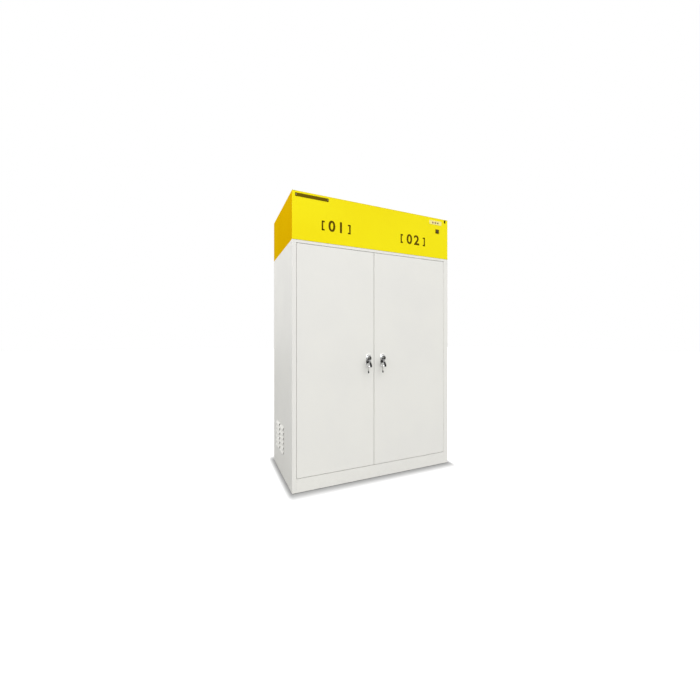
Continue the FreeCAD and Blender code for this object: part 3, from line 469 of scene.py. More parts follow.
# The lever's chrome is the chrome plate darkened to mid grey: painted shade in its reflections.
chrome_with_painted_shade = polished_plate("chrome with painted shade", linear(128, 128, 128), linear(104, 104, 104), rough=0.24)
# The lock plate's chrome is a near-white copy of the chrome plate: a painted highlight in its reflections.
chrome_with_painted_light = polished_plate("lock plate chrome with painted light", linear(248, 248, 246), linear(234, 234, 232), rough=0.18)
# The spare key's nickel is a paler copy of the key nickel: painted light.
nickel_with_painted_light = polished_plate("key nickel with painted light", linear(214, 213, 208), linear(196, 195, 190), rough=0.34)
brass = polished_plate("contact brass", linear(214, 190, 128), linear(190, 166, 110), rough=0.22)
dark_print = printed_mark("dark brown print", linear(88, 68, 0), linear(104, 82, 2), rough=0.7)
pale_print = printed_mark("pale print", linear(224, 222, 214), linear(205, 203, 196), rough=0.5)
red_lens = lamp_lens("red lens", linear(150, 56, 30), linear(120, 34, 18))
amber_lens = lamp_lens("amber lens", linear(160, 92, 30), linear(130, 70, 20))
green_lens = lamp_lens("green lens", linear(104, 104, 40), linear(80, 86, 30))
mat_rubber = soft_rubber(
    "ribbed mat rubber", linear(74, 78, 82), linear(96, 100, 104), rough=0.6, cell=500.0, depth=0.08 * mm)
card_paper = fibre_mat(
    "blank card", linear(242, 240, 232), linear(232, 229, 219), size=900.0, depth=0.03 * mm)

own_finishes = {"cap_shell": yellow_with_painted_side_shade, "switch_bezel": switch_plastic}
for subpart in frame["record"]["subparts"]:
    carried = frame["nodes"][subpart["node"]]
    finish = own_finishes.get(subpart["node"], finishes[subpart["material_slot"]])
    if not carried.material_slots:
        carried.data.materials.append(finish)
    for held in carried.material_slots:
        held.material = finish


# Mesh making

def in_mm(*pairs):
    """Pairs of millimetres as pairs of metres."""
    return [(first * mm, second * mm) for first, second in pairs]


class Shape:
    """Corners and faces gathered into one piece, each face with its finish."""

    def __init__(self, *finishes):
        self.finishes = list(finishes)
        self.corners = []
        self.faces = []
        self.marks = []

    def add(self, corners, faces, finish=None, matrix=None):
        """Takes corners and faces in, in the first finish where none is named."""
        start = len(self.corners)
        self.corners += [matrix @ Vector(corner) if matrix else Vector(corner) for corner in corners]
        self.faces += [[start + index for index in face] for face in faces]
        mark = self.finishes.index(finish) if finish else 0
        self.marks += [mark] * len(faces)

    def made(self, name, body, smooth=40.0):
        """The finished piece, riding on its body. Folds sharper than smooth, in degrees, stay sharp."""
        mesh = bpy.data.meshes.new(name)
        mesh.from_pydata([tuple(corner) for corner in self.corners], [], self.faces)
        for finish in self.finishes:
            mesh.materials.append(finish)
        for face, mark in zip(mesh.polygons, self.marks):
            face.material_index = mark
        shell = bmesh.new()
        shell.from_mesh(mesh)
        bmesh.ops.recalc_face_normals(shell, faces=shell.faces)
        shell.to_mesh(mesh)
        shell.free()
        mesh.shade_smooth()
        piece = bpy.data.objects.new(name, mesh)
        bpy.context.scene.collection.objects.link(piece)
        mesh.set_sharp_from_angle(angle=math.radians(smooth))
        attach(piece, body)
        return piece


def circle(radius, count, x=0.0, y=0.0, z=0.0):
    """Points evenly round a level circle."""
    turns = [2 * math.pi * index / count for index in range(count)]
    return [(x + radius * math.cos(turn), y + radius * math.sin(turn), z) for turn in turns]


def rings(loops, close_start=True, close_end=True):
    """Corners and faces through loops of equal count, with flat ends."""
    count = len(loops[0])
    corners = [corner for loop in loops for corner in loop]
    faces = []
    for level in range(len(loops) - 1):
        for index in range(count):
            following = (index + 1) % count
            faces.append([level * count + index, level * count + following,
                          (level + 1) * count + following, (level + 1) * count + index])
    if close_start:
        faces.append(list(reversed(range(count))))
    if close_end:
        faces.append([len(corners) - count + index for index in range(count)])
    return corners, faces


def turned(profile, sides=32, close_start=True, close_end=True):
    """A body turned about Z from (radius, height) points."""
    return rings([circle(radius, sides, z=height) for radius, height in profile], close_start, close_end)


def wire(points, radius, sides=8, closed=False):
    """A round wire along points."""
    points = [Vector(point) for point in points]
    loops = []
    side = None
    for index, point in enumerate(points):
        before = points[index - 1] if index or closed else point
        after = points[(index + 1) % len(points)] if closed or index < len(points) - 1 else point
        run = (after - before).normalized()
        if side is None:
            side = run.orthogonal().normalized()
        side = (side - run * side.dot(run)).normalized()
        up = run.cross(side)
        loops.append([point + radius * (side * math.cos(turn) + up * math.sin(turn))
                      for turn in (2 * math.pi * step / sides for step in range(sides))])
    if closed:
        loops.append(loops[0])
    return rings(loops, not closed, not closed)


def stadium(width, height, corner, steps):
    """A rounded rectangle about the origin, as (across, up) points."""
    points = []
    for sign_x, sign_y, start in ((1, 1, 0), (-1, 1, 90), (-1, -1, 180), (1, -1, 270)):
        centre_x = sign_x * (0.5 * width - corner)
        centre_y = sign_y * (0.5 * height - corner)
        for step in range(steps + 1):
            turn = math.radians(start + 90 * step / steps)
            points.append((centre_x + corner * math.cos(turn), centre_y + corner * math.sin(turn)))
    return points


def pressed_plate(width, height, corner, levels, steps):
    """A rounded plate from (inset, height) levels, lying in XY and rising along Z."""
    least_corner = 0.2 * mm
    loops = []
    for inset, rise in levels:
        outline = stadium(width - 2 * inset, height - 2 * inset, max(corner - inset, least_corner), steps)
        loops.append([(x, y, rise) for x, y in outline])
    return rings(loops)


# Ways to face: each turns and moves a piece that rises along Z.

quarter_turn = math.radians(90)


def facing_front(x, z, y=front_y):
    """Out of the front, towards -Y."""
    return Matrix.Translation((x, y, z)) @ Matrix.Rotation(quarter_turn, 4, "X")


def facing_side(x, y, z, way):
    """Out of the right side where way is 1, and out of the left side where it is -1."""
    return Matrix.Translation((x, y, z)) @ Matrix.Rotation(quarter_turn * way, 4, "Y")


def facing_back(x, z, y=back_y):
    """Towards the back, +Y."""
    return Matrix.Translation((x, y, z)) @ Matrix.Rotation(-quarter_turn, 4, "X")


# Locks, each about its lever's axis

def make_lock_plate(side, x):
    """The pressed plate: a rounded rim round a shallow dish, reaching further down than up."""
    middle_drop = 17 * mm
    rim = in_mm((0, 0), (0, 2.4), (0.45, 3.5), (1.5, 4), (3.4, 4), (4.2, 3.5), (5.2, 3.3), (12, 3.6))
    # Near-white chrome on the plate: painted highlight.
    plate = Shape(chrome_with_painted_light)
    plate.add(*pressed_plate(width=40 * mm, height=88 * mm, corner=17 * mm, levels=rim, steps=10),
              matrix=facing_front(x, lock_height - middle_drop))
    piece = plate.made(side + "_plate_pressed", side + "_door", 50.0)
    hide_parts(side + "_lock_plate")


def lever_section(reach, drop, lean, width, depth, swell=0.0):
    """One cross section of the lever, from millimetres and degrees, square to its run in the YZ plane."""
    sides = 20
    lean = math.radians(lean)
    half_width = (0.5 * width + swell) * mm
    half_depth = (0.5 * depth + swell) * mm
    points = []
    for step in range(sides):
        turn = 2 * math.pi * step / sides
        across = abs(math.cos(turn)) ** 0.6 * math.copysign(1, math.cos(turn)) * half_width
        out = abs(math.sin(turn)) ** 0.7 * math.copysign(1, math.sin(turn)) * half_depth
        points.append((across, -reach * mm - out * math.cos(lean), -drop * mm + out * math.sin(lean)))
    return points


def make_handle(side, x):
    """Hub, swept lever with its black grip, and the spindle, cam and cam pins behind the door."""
    zinc = finishes["zinc_steel"]
    handle = Shape(finishes["chrome"], grip_plastic, zinc, chrome_with_painted_shade)
    out = facing_front(x, lock_height)
    hub = in_mm((8, 3.6), (13.2, 4.3), (14, 5.2), (14, 9), (13.4, 9.6), (13.4, 10.4), (14, 11), (14, 12.6),
                (13.6, 13.8), (13.1, 14.2))
    dark_face = in_mm((13.1, 14.2), (12.6, 14.9), (9.6, 15), (6.8, 14.3), (6.2, 14.9))
    plug_hole = in_mm((6.2, 14.9), (5.7, 15), (5.6, 12), (5.6, 5.2))
    handle.add(*turned(hub, 48, True, False), matrix=out)
    handle.add(*turned(dark_face, 48, False, False), finish=grip_plastic, matrix=out)
    handle.add(*turned(plug_hole, 48, False, True), matrix=out)

    # Reach out of the door, drop below the axis, lean in degrees, width and depth, from hub to tip.
    run = [(9, 4, 2, 13, 9), (10.2, 11, 12, 13, 9), (14.5, 17.5, 36, 12.4, 8.6), (21, 24.8, 44, 12, 8),
           (27.5, 31.5, 44, 12.2, 7.6), (33, 37.6, 38, 12.8, 7.4), (36.8, 43.4, 24, 13.4, 7.4),
           (39, 50, 8, 13.8, 7.6), (39.6, 55.5, 2, 13.6, 7.4), (39.7, 58.4, 0, 11.4, 5.6),
           (39.8, 59.7, 0, 7.6, 2.8)]
    metal_end = 4
    grip_swell = 0.2
    lever = Matrix.Translation((x, front_y, lock_height))
    # The lever's metal part takes the darkened chrome, with its painted shade.
    metal = [lever_section(*section) for section in run[:metal_end + 1]]
    handle.add(*rings(metal), finish=chrome_with_painted_shade, matrix=lever)
    grip = [lever_section(27.1, 31.1, 44, 11.8, 7.2)]
    grip += [lever_section(*section, grip_swell) for section in run[metal_end:]]
    handle.add(*rings(grip), finish=grip_plastic, matrix=lever)

    inward = facing_back(x, lock_height, front_y)
    spindle = in_mm((8, -3.6), (8, 6), (7, 8))
    cam = in_mm((14.4, 8), (15, 8.6), (15, 10.4), (14.4, 11))
    cam_pin = in_mm((2.5, 11), (2.5, 17.6), (2.1, 18))
    pin_offset = 7.78 * mm
    handle.add(*turned(spindle, 24), finish=zinc, matrix=inward)
    handle.add(*turned(cam, 32), finish=zinc, matrix=inward)
    for way in (1, -1):
        pin_x = x - way * turn_sides[side] * pin_offset
        pin_z = lock_height - way * pin_offset
        handle.add(*turned(cam_pin, 16), finish=zinc, matrix=facing_back(pin_x, pin_z, front_y))
    piece = handle.made(side + "_swept_handle", side + "_handle_unit", 48.0)
    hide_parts(side + "_handle")


def round_head(radius, thickness, hole_radius, hole_shift):
    """A flat round key head in XY about Z, with a hole moved along +X."""
    sides = 36
    half = 0.5 * thickness
    edge = 0.28 * thickness
    loops = [
        circle(hole_radius, sides, hole_shift, z=-half + edge),
        circle(hole_radius + edge, sides, hole_shift, z=-half),
        circle(radius - edge, sides, z=-half),
        circle(radius, sides, z=-half + edge),
        circle(radius, sides, z=half - edge),
        circle(radius - edge, sides, z=half),
        circle(hole_radius + edge, sides, hole_shift, z=half),
        circle(hole_radius, sides, hole_shift, z=half - edge),
    ]
    return rings(loops + loops[:1], False, False)


def make_key(side, x):
    """The key that stands in the lock: plug with its keyway, blade and black head."""
    key = Shape(finishes["key_steel"], grip_plastic)
    out = facing_front(x, lock_height)
    plug = in_mm((5.4, 5.3), (5.4, 14.6), (5, 15), (3.6, 15), (3.4, 14.6))
    key.add(*turned(plug, 32), matrix=out)
    blade = pressed_plate(width=2 * mm, height=6 * mm, corner=0.4 * mm,
                          levels=in_mm((0, 13), (0, 22.5)), steps=2)
    key.add(*blade, matrix=out)
    collar = pressed_plate(width=2.6 * mm, height=8 * mm, corner=0.8 * mm,
                           levels=in_mm((0.3, 20.2), (0, 20.6), (0, 23)), steps=3)
    key.add(*collar, finish=grip_plastic, matrix=out)
    head_reach = 32 * mm
    on_edge = Matrix(((0, 0, 1, 0), (-1, 0, 0, 0), (0, -1, 0, 0), (0, 0, 0, 1)))
    head = round_head(radius=11 * mm, thickness=2.6 * mm, hole_radius=3.4 * mm, hole_shift=1.32 * mm)
    key.add(*head, finish=grip_plastic,
            matrix=Matrix.Translation((x, front_y - head_reach, lock_height)) @ on_edge)
    piece = key.made(side + "_key_in_lock", side + "_key_unit")
    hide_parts(side + "_key")


def make_spare_key(side, x):
    """Split ring with the second key hanging on it."""
    ring_radius = 15 * mm
    ring_lean = math.radians(50)
    ring_x = x - ring_radius * math.sin(ring_lean)
    ring_y = front_y - 33.32 * mm
    ring_z = lock_height - ring_radius * math.cos(ring_lean)
    coil_turns = 1.92
    coil_steps = 88
    coil_pitch = 1.5 * mm
    # The ring and the spare key's blade take the paler nickel, which holds painted light.
    spare = Shape(nickel_with_painted_light, grip_plastic)
    coil = []
    for step in range(coil_steps + 1):
        turn = 2 * math.pi * coil_turns * step / coil_steps
        shift = (step / coil_steps - 0.5) * coil_pitch
        coil.append((ring_x + ring_radius * math.cos(turn), ring_y + shift,
                     ring_z + ring_radius * math.sin(turn)))
    spare.add(*wire(coil, 0.62 * mm, 8))

    low_x = x - 2 * ring_radius * math.sin(ring_lean)
    low_z = lock_height - 2 * ring_radius * math.cos(ring_lean)
    hang = Matrix.Translation((low_x, ring_y, low_z)) @ Matrix.Rotation(math.radians(-6), 4, "Y")
    upright = Matrix(((0, 1, 0, 0), (0, 0, 1, 0), (1, 0, 0, 0), (0, 0, 0, 1)))
    head = round_head(radius=10 * mm, thickness=2.6 * mm, hole_radius=3 * mm, hole_shift=4.6 * mm)
    spare.add(*head, finish=grip_plastic, matrix=hang @ Matrix.Translation((0, 0, -5 * mm)) @ upright)

    half_width = 3.4 * mm
    half_thickness = 1 * mm
    shoulder_z = -14 * mm
    tip_z = -spare_reach
    tooth_pitch = 3.4 * mm
    tooth_length = 1.4 * mm
    cuts = (0.0, 0.9, 0.3, 1.4, 0.7, 1.7, 0.5, 1.1)
    plain_edge = [(-half_width, shoulder_z), (-half_width, tip_z + 4 * mm), (-2.2 * mm, tip_z + 1 * mm)]
    cut_edge = [(half_width, shoulder_z), (half_width, tip_z + 32 * mm)]
    for index, cut in enumerate(cuts):
        tooth_z = tip_z + 30 * mm - tooth_pitch * index
        cut_edge += [(half_width - cut * mm, tooth_z), (half_width - cut * mm, tooth_z - tooth_length)]
    cut_edge.append((2 * mm, tip_z + 1 * mm))
    outline = plain_edge + list(reversed(cut_edge))
    broad_sides = [[(across, y, up) for across, up in outline] for y in (-half_thickness, half_thickness)]
    spare.add(*rings(broad_sides), matrix=hang)
    # A thin black strip on the blade's face: painted shade standing for the key's groove, which is not cut
    # into the blade.
    groove = pressed_plate(width=1.2 * mm, height=40 * mm, corner=0.5 * mm,
                           levels=in_mm((0, 0), (0.2, 0.12)), steps=2)
    spare.add(*groove, finish=grip_plastic,
              matrix=hang @ facing_front(-1 * mm, tip_z + 36 * mm, -half_thickness))
    tip = pressed_plate(width=8.6 * mm, height=15 * mm, corner=2.8 * mm,
                        levels=in_mm((0.4, -1.7), (0, -1.2), (0, 1.2), (0.4, 1.7)), steps=4)
    spare.add(*tip, finish=grip_plastic, matrix=hang @ facing_front(0, tip_z + 7 * mm, 0))
    piece = spare.made(side + "_ring_and_spare", side + "_spare_key_unit")
    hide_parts(side + "_spare_key")


for side, x in locks.items():
    make_lock_plate(side, x)
    make_handle(side, x)
    make_key(side, x)
    make_spare_key(side, x)


# Screws and feet

def pan_head(radius, height):
    """A domed screw head with a cross recess, rising along Z from 0."""
    sides = 32
    recess_share = 0.55
    half_arm = 0.13 * radius
    loops = [circle(radius, sides)]
    for share in (1.0, 0.96, 0.86, 0.72, 0.6, 0.5, 0.4, 0.3, 0.2, 0.1, 0.02):
        dome = height * (0.45 + 0.55 * math.sqrt(1 - share * share))
        sunk = height * (0.9 * (1 - share / recess_share) + 0.15)
        loop = []
        for across, up, _ in circle(share * radius, sides):
            in_arm = share < recess_share and min(abs(across), abs(up)) < half_arm
            loop.append((across, up, dome - sunk if in_arm else dome))
        loops.append(loop)
    return rings(loops)


def add_screw(screws, finish, where, shank_length):
    """One screw on a face: its head turned by chance, and the shank behind it."""
    spin = Matrix.Rotation(random.uniform(0, 1.5), 4, "Z")
    screws.add(*pan_head(4.2 * mm, 1.8 * mm), finish=finish, matrix=where @ spin)
    screws.add(*turned([(2 * mm, -shank_length), (2 * mm, 0)], 12), matrix=where)


def make_screws():
    """The screws of the cap's sides and of the back panel."""
    zinc = finishes["zinc_steel"]
    cap_foot = 1550 * mm
    cap_height = 300 * mm
    panel_face = back_y - 1.5 * mm
    screws = Shape(zinc, yellow_with_painted_side_shade)
    # The cap's side screws are painted in the sides' darker yellow, which holds a painted shade.
    for share in (0.2, 0.5, 0.8):
        for way in (-1, 1):
            where = facing_side(way * side_x, front_y + 11 * mm, cap_foot + share * cap_height, way)
            add_screw(screws, yellow_with_painted_side_shade, where, 6 * mm)
    for share in (0.08, 0.36, 0.64, 0.92):
        for z in (43.5 * mm, 1537.5 * mm):
            where = facing_back((2 * share - 1) * side_x, z, panel_face)
            add_screw(screws, zinc, where, 2.7 * mm)
    piece = screws.made("cross_head_screws", "cabinet")
    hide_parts("cover_screws")


def make_feet():
    """Ribbed foot pads on threaded stems with their lock nuts."""
    zinc = finishes["zinc_steel"]
    pad = in_mm((17.5, 0), (19.6, 0.5), (20, 1.4), (19.7, 2.8), (18.6, 3.7), (7, 4))
    nut = in_mm((8.4, 5.5), (9, 6.2), (9, 12.8), (8.4, 13.5))
    ridge, groove, thread_foot, half_pitch = 5, 4.4, 13.6, 1.1
    thread = in_mm((ridge, 4))
    for index in range(28):
        thread += in_mm((ridge if index % 2 else groove, thread_foot + half_pitch * index))
    thread += in_mm((4.2, 45))
    feet = Shape(finishes["black_plastic"], zinc)
    for x in (-570 * mm, 570 * mm):
        for y in (-209 * mm, 251 * mm):
            stand = Matrix.Translation((x, y, 0))
            feet.add(*turned(pad, 40), matrix=stand)
            feet.add(*turned(thread, 20), finish=zinc, matrix=stand)
            feet.add(*turned(nut, 6), finish=zinc, matrix=stand)
    piece = feet.made("ribbed_feet", "cabinet", 30.0)
    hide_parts("levelling_feet")


make_screws()
make_feet()


# Marks and small fittings on the cap

def bar(x_low, x_high, z_low, z_high, rise):
    """A thin raised bar for the cap's front, and where it stands."""
    width = x_high - x_low
    height = z_high - z_low
    narrow = min(width, height)
    plate = pressed_plate(width, height, corner=0.2 * narrow,
                          levels=[(0, 0), (0, 0.7 * rise), (0.15 * narrow, rise)], steps=2)
    return plate, facing_front(0.5 * (x_low + x_high), 0.5 * (z_low + z_high))


def numeral(text, size, thickness):
    """A plain numeral as flat mesh corners and faces, in XY about its middle."""
    letters = bpy.data.curves.new("numeral", "FONT")
    letters.body = text
    letters.size = size
    letters.align_x = "CENTER"
    letters.align_y = "CENTER"
    letters.offset = 0.025 * size
    letters.space_character = 1.3
    letters.extrude = 0.5 * thickness
    letters.resolution_u = 4
    holder = bpy.data.objects.new("numeral", letters)
    bpy.context.scene.collection.objects.link(holder)
    bpy.context.view_layer.update()
    mesh = bpy.data.meshes.new_from_object(holder)
    corners = [tuple(corner.co) for corner in mesh.vertices]
    faces = [list(face.vertices) for face in mesh.polygons]
    bpy.data.objects.remove(holder)
    return corners, faces


def make_compartment_mark(name, number, x_low, x_high, z_low, z_high):
    """Corner brackets round a plain compartment number."""
    stroke = 10 * mm
    reach = 20 * mm
    rise = 0.3 * mm
    mark = Shape(dark_print)
    for x, way in ((x_low, 1), (x_high, -1)):
        post = sorted((x, x + way * stroke))
        arm = sorted((x, x + way * reach))
        for plate, where in (bar(*post, z_low, z_high, rise), bar(*arm, z_high - stroke, z_high, rise),
                             bar(*arm, z_low, z_low + stroke, rise)):
            mark.add(*plate, matrix=where)
    middle = facing_front(0.5 * (x_low + x_high), 0.5 * (z_low + z_high), front_y - 0.5 * rise)
    mark.add(*numeral(number, size=96 * mm, thickness=rise), matrix=middle)
    mark.made(name, "cabinet", 20.0)


def make_blank_plate():
    """A narrow dark name plate, left blank, on two small rivets."""
    zinc = finishes["zinc_steel"]
    x, z = -473 * mm, 1826 * mm
    rivet_offset = 102.5 * mm
    edge = in_mm((0, 0), (0, 0.5), (0.4, 0.9), (1.4, 0.9), (1.7, 0.7))
    rivet = turned(in_mm((2.2, 0), (2.2, 1.1), (1.6, 1.6), (0.6, 1.8)), 20)
    plate = Shape(name_enamel, zinc)
    plate.add(*pressed_plate(width=217 * mm, height=22 * mm, corner=3 * mm, levels=edge, steps=4),
              matrix=facing_front(x, z))
    for rivet_x in (x - rivet_offset, x + rivet_offset):
        plate.add(*rivet, finish=zinc, matrix=facing_front(rivet_x, z))
    plate.made("blank_name_plate", "cabinet", 30.0)


def make_indicator_plate():
    """A pale plate with three small unlit lamps."""
    grey = finishes["grey_plastic"]
    x, z = 484 * mm, 1814 * mm
    lamp_x, lamp_z, lamp_pitch = 482 * mm, 1813 * mm, 23 * mm
    edge = in_mm((0, 0), (0, 0.8), (0.5, 1.3), (2, 1.3), (2.4, 1))
    bezel = in_mm((7, 0.8), (7, 1.9), (6.4, 2.4), (5.4, 2.2))
    dome = in_mm((5.4, 2.2), (5.2, 3.4), (4.3, 4.4), (2.8, 5.1), (0.8, 5.4))
    panel = Shape(plate_enamel, red_lens, amber_lens, green_lens, grey)
    panel.add(*pressed_plate(width=112 * mm, height=30 * mm, corner=4 * mm, levels=edge, steps=5),
              matrix=facing_front(x, z))
    for place_in_row, lens in ((-1, red_lens), (0, amber_lens), (1, green_lens)):
        where = facing_front(lamp_x + place_in_row * lamp_pitch, lamp_z)
        panel.add(*turned(bezel, 32, True, False), finish=grey, matrix=where)
        panel.add(*turned(dome, 32, False, True), finish=lens, matrix=where)
    panel.made("indicator_plate", "cabinet", 35.0)


def make_edge_plug():
    """The small black plug near the cap's top right corner."""
    edge = in_mm((0, 0), (0, 1.2), (0.8, 2.2), (2.6, 2.6))
    plug = Shape(plug_plastic)
    plug.add(*pressed_plate(width=13 * mm, height=22 * mm, corner=3 * mm, levels=edge, steps=5),
             matrix=facing_front(572 * mm, 1834 * mm))
    plug.made("edge_plug", "cabinet", 40.0)


make_compartment_mark("left_compartment_mark", "01", -411 * mm, -211 * mm, 1630 * mm, 1692 * mm)
make_compartment_mark("right_compartment_mark", "02", 177 * mm, 388 * mm, 1626 * mm, 1689 * mm)
make_blank_plate()
make_indicator_plate()
make_edge_plug()


# Switch and inlet details

def make_switch_marks():
    """The plain on and off strokes on the rocker, tilted with it."""
    switch_x, switch_z = 500 * mm, 1751 * mm
    mark_rise = 5.2 * mm
    mark_y = front_y - 2.2 * mm
    axis = Vector((switch_x, front_y + 3 * mm, switch_z))
    rest_tilt = math.radians(-8)
    slope = math.atan2(1.6, 10)
    tilt = Matrix.Translation(axis) @ Matrix.Rotation(rest_tilt, 4, "X") @ Matrix.Translation(-axis)
    upper = tilt @ facing_front(switch_x, switch_z + mark_rise, mark_y) @ Matrix.Rotation(slope, 4, "X")
    lower = tilt @ facing_front(switch_x, switch_z - mark_rise, mark_y) @ Matrix.Rotation(-slope, 4, "X")
    stroke = pressed_plate(width=1.1 * mm, height=4.6 * mm, corner=0.4 * mm,
                           levels=in_mm((0, -0.1), (0.1, 0.12)), steps=2)
    marks = Shape(pale_print)
    marks.add(*stroke, matrix=upper)
    marks.add(*wire(circle(2.2 * mm, 28), 0.35 * mm, 6, True), matrix=lower)
    marks.made("rocker_marks", "rocker_unit", 30.0)


def make_inlet_pins():
    """The three contact pins of the power inlet."""
    inlet_x, inlet_z = 480, 1612
    tip = in_mm((0, -18), (0, -4), (0.7, -2.6))
    pins = Shape(brass)
    for x, z in in_mm((inlet_x - 7, inlet_z - 2), (inlet_x + 7, inlet_z - 2), (inlet_x, inlet_z + 3)):
        pins.add(*pressed_plate(width=2 * mm, height=5 * mm, corner=0.5 * mm, levels=tip, steps=3),
                 matrix=facing_back(x, z))
    pins.made("inlet_pins", "cabinet", 30.0)


make_switch_marks()
make_inlet_pins()


# Fans

def blade_section(share, swing):
    """One section of a fan blade, from 0 at the hub to 1 at the tip, bent round the fan's axis."""
    points_round = 20
    radius = (46.5 + 76 * share) * mm
    pitch = math.radians(40 - 16 * share)
    chord = (46 + 26 * share) * mm
    lift = min(chord, 42 * mm) * math.sin(pitch)
    sweep = 0.26 * share * share
    points = []
    for index in range(points_round):
        around = 2 * math.pi * index / points_round
        along = 0.5 * math.cos(around)
        thick = 1.3 * mm * math.sin(around) * (1 - 0.5 * abs(2 * along)) * (1.2 - 0.5 * share)
        bulge = thick + 0.07 * chord * (1 - 4 * along * along)
        forward = along * chord * math.cos(pitch) - bulge * math.sin(pitch)
        rise = 17 * mm + along * lift + bulge * math.cos(pitch)
        turn = swing + sweep + forward / radius
        points.append((radius * math.cos(turn), radius * math.sin(turn), min(max(rise, 1 * mm), 33 * mm)))
    return points


def make_rotor(side, x):
    """A moulded rotor: domed hub and seven twisted, cambered blades."""
    blades = 7
    sections = 9
    stand = Matrix.Translation((x, fan_y, fan_base + 40 * mm))
    hub = in_mm((4, -30), (4, 0), (46, 0.2), (48, 2), (48, 30), (46.5, 33), (43, 34), (20, 33), (16, 31.5))
    rotor = Shape(finishes["black_plastic"])
    rotor.add(*turned(hub, 64), matrix=stand)
    for blade in range(blades):
        swing = 2 * math.pi * blade / blades
        rotor.add(*rings([blade_section(step / (sections - 1), swing) for step in range(sections)]),
                  matrix=stand)
    piece = rotor.made(side + "_moulded_rotor", side + "_rotor", 45.0)
    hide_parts(side + "_fan_rotor")


def make_guard(side, x):
    """Wire finger guard on top of the fan frame: rings on four spokes, and a foot under each spoke."""
    frame_top = fan_base + 80 * mm
    ring_z = frame_top + 2.6 * mm
    spoke = in_mm((30, -1.6), (120, -1.6), (150, -1.6), (165, -1.4))
    foot_reach = 168 * mm
    foot = turned(in_mm((5, 0), (5, 1.6), (4.4, 2.2)), 20)
    guard = Shape(finishes["zinc_steel"])
    for radius in (30, 50, 70, 90, 110, 129):
        guard.add(*wire(circle(radius * mm, 56, x, fan_y, ring_z), 1 * mm, 6, True))
    for corner in range(4):
        turn = math.pi / 4 + corner * math.pi / 2
        run = [(x + radius * math.cos(turn), fan_y + radius * math.sin(turn), ring_z + drop)
               for radius, drop in spoke]
        guard.add(*wire(run, 1 * mm, 6))
        guard.add(*foot, matrix=Matrix.Translation(
            (x + foot_reach * math.cos(turn), fan_y + foot_reach * math.sin(turn), frame_top)))
    guard.made(side + "_finger_guard", "cabinet")


for side, x in fans.items():
    make_rotor(side, x)
    make_guard(side, x)


# Drawer fittings

def make_mat(label, body):
    """A ribbed rubber mat on the tray's floor."""
    low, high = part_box(label)
    side_margin = 15.5 * mm
    end_margin = 4 * mm
    floor_z = low[2] + 1 * mm
    ribs = 64
    hollow, shoulder, crest = 1 * mm, 1.9 * mm, 2.1 * mm
    left = low[0] + side_margin
    right = high[0] - side_margin
    pitch = (right - left) / ribs
    outline = []
    for index in range(ribs):
        start = left + pitch * index
        outline += [(start, hollow), (start + 0.18 * pitch, shoulder), (start + 0.5 * pitch, crest),
                    (start + 0.82 * pitch, shoulder)]
    outline += [(right, hollow), (right, 0), (left, 0)]
    mat = Shape(mat_rubber)
    mat.add(*rings([[(x, y, floor_z + rise) for x, rise in outline]
                    for y in (low[1] + end_margin, high[1] - end_margin)]))
    mat.made(label + "_mat", body, 25.0)


def make_card_holder(label, body):
    """A folded steel holder with a blank card under the hand slot."""
    low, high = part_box(label)
    where = facing_front(0.5 * (low[0] + high[0]), low[2] + 50 * mm, low[1])
    holder = Shape(finishes["zinc_steel"], card_paper)
    holder.add(*pressed_plate(width=84 * mm, height=34 * mm, corner=1.5 * mm,
                              levels=in_mm((0, 0), (0, 0.5), (0.2, 0.6)), steps=3), matrix=where)
    holder.add(*pressed_plate(width=78 * mm, height=30 * mm, corner=0.4 * mm,
                              levels=in_mm((0, 0.6), (0, 0.85)), steps=2),
               finish=card_paper, matrix=where)
    lip_edge = in_mm((0, 0.5), (0, 1.3), (0.3, 1.5))
    for across, up, width, height in ((-40.2, 0, 3.6, 34), (40.2, 0, 3.6, 34), (0, -15.4, 84, 3.2)):
        lip = pressed_plate(width * mm, height * mm, corner=0.8 * mm, levels=lip_edge, steps=2)
        holder.add(*lip, matrix=where @ Matrix.Translation((across * mm, up * mm, 0)))
    tab = pressed_plate(width=10 * mm, height=10 * mm, corner=3 * mm, levels=in_mm((0, 0), (0, 0.6)), steps=4)
    rivet = turned(in_mm((2.4, 0.6), (2.3, 1.3), (1.4, 1.8)), 16)
    for across in (-46.5 * mm, 46.5 * mm):
        tab_place = where @ Matrix.Translation((across, 0, 0))
        holder.add(*tab, matrix=tab_place)
        holder.add(*rivet, matrix=tab_place)
    holder.made(label + "_card_holder", body, 30.0)


for side in locks:
    for number in range(1, 5):
        label = side + "_drawer_" + str(number)
        make_mat(label, label + "_unit")
        make_card_holder(label, label + "_unit")


# Stage, light and camera

def seen_plainly(tree, *rays):
    """1 where a point is seen by the camera or by one of the named rays, else 0."""
    seen = put(tree, "LightPath").outputs
    plain_view = seen["Is Camera Ray"]
    for ray in rays:
        plain_view = reckon(tree, "MAXIMUM", plain_view, seen[ray])
    return plain_view


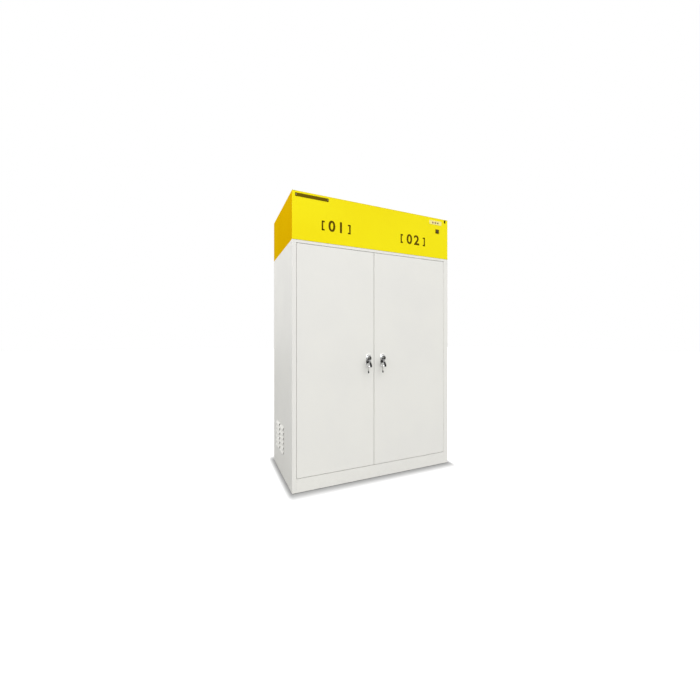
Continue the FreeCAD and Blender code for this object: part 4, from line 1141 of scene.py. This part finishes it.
def make_floor():
    """A plain pale floor that keeps the shadow at the cabinet's foot, and paints a darker band there too: its
    glow is least at the footprint and full beyond shadow_reach, a painted contact shadow.
    """
    half_size = 30
    half_width = 0.6
    middle_y = 0.021
    half_depth = 0.3
    side_narrowing = 2.2
    shadow_reach = 0.125
    least_glow, most_glow = 0.03, 0.95
    mesh = bpy.data.meshes.new("studio_floor")
    mesh.from_pydata([(-half_size, -half_size, 0), (half_size, -half_size, 0),
                      (half_size, half_size, 0), (-half_size, half_size, 0)], [], [(0, 1, 2, 3)])
    floor = bpy.data.objects.new("studio_floor", mesh)
    bpy.context.scene.collection.objects.link(floor)
    material, tree, shader = new_finish("studio floor", Roughness=0.9, Specular_IOR_Level=0.0,
                                        Base_Color=(0.36, 0.36, 0.36, 1), Emission_Color=(1, 1, 1, 1))
    where = put(tree, "SeparateXYZ", {0: place(tree)}).outputs
    from_middle = reckon(tree, "ABSOLUTE", where[0])
    beyond_x = reckon(tree, "MAXIMUM", reckon(tree, "SUBTRACT", from_middle, half_width), 0.0)
    beyond_x = reckon(tree, "MULTIPLY", beyond_x, side_narrowing)
    from_middle = reckon(tree, "ABSOLUTE", reckon(tree, "SUBTRACT", where[1], middle_y))
    beyond_y = reckon(tree, "MAXIMUM", reckon(tree, "SUBTRACT", from_middle, half_depth), 0.0)
    squared = reckon(tree, "ADD", reckon(tree, "MULTIPLY", beyond_x, beyond_x),
                     reckon(tree, "MULTIPLY", beyond_y, beyond_y))
    # Less glow near the footprint: a painted contact shadow round the foot, narrower at the sides.
    glow_with_painted_foot_shadow = ramp(tree, reckon(tree, "SQRT", squared), 0.0, shadow_reach, least_glow, most_glow)
    plain_view = seen_plainly(tree, "Is Transmission Ray")
    feed(tree, shader, Emission_Strength=reckon(tree, "MULTIPLY", glow_with_painted_foot_shadow, plain_view))
    mesh.materials.append(material)


def make_sky():
    """White to the eye and in reflections, and a plain soft level of light on the object."""
    soft_level = 0.62
    world = bpy.data.worlds.new("white studio")
    bpy.context.scene.world = world
    world.use_nodes = True
    tree = world.node_tree
    sky = tree.nodes["Background"]
    sky.inputs["Color"].default_value = (1, 1, 1, 1)
    plain_view = seen_plainly(tree, "Is Transmission Ray", "Is Glossy Ray")
    tree.links.new(ramp(tree, plain_view, 0.0, 1.0, soft_level, 1.0), sky.inputs["Strength"])


def make_lamp(name, kind, energy, place_at, aim=(0, 0, 0.9), **settings):
    """A lamp that points at aim, which is the middle of the cabinet unless given."""
    data = bpy.data.lights.new(name, kind)
    data.energy = energy
    for setting, value in settings.items():
        setattr(data, setting, value)
    lamp = bpy.data.objects.new(name, data)
    bpy.context.scene.collection.objects.link(lamp)
    lamp.location = place_at
    lamp.rotation_euler = (Vector(aim) - Vector(place_at)).to_track_quat("-Z", "Y").to_euler()


def make_camera():
    """The photograph's view, fitted to the eight visible corners of the body and the cap."""
    picture_side = 700
    axis_drop = 10
    data = bpy.data.cameras.new("photo_camera")
    data.sensor_width = 36
    data.lens = 15.888
    data.shift_y = -axis_drop / picture_side
    data.clip_start = 0.02
    camera = bpy.data.objects.new("photo_camera", data)
    bpy.context.scene.collection.objects.link(camera)
    camera.location = (-1.04087, -2.13196, 0.93714)
    camera.rotation_euler = (quarter_turn, 0, math.radians(-24.0094))
    bpy.context.scene.camera = camera


make_floor()
make_sky()
make_lamp("front_soft_light", "SUN", 1.66, (0.2, -2.9, 3.4), angle=math.radians(75))
make_lamp("side_soft_light", "SUN", 0.36, (-3.0, -1.0, 3.4), angle=math.radians(70))
make_lamp("rear_soft_light", "SUN", 1.0, (1.8, 2.6, 2.6), angle=math.radians(80))
make_lamp("high_side_panel_light", "AREA", 19.0, (-2.6, -0.6, 2.6), (-0.6, 0, 1.7), size=1.6)
make_camera()
bpy.context.scene.view_settings.view_transform = "Standard"
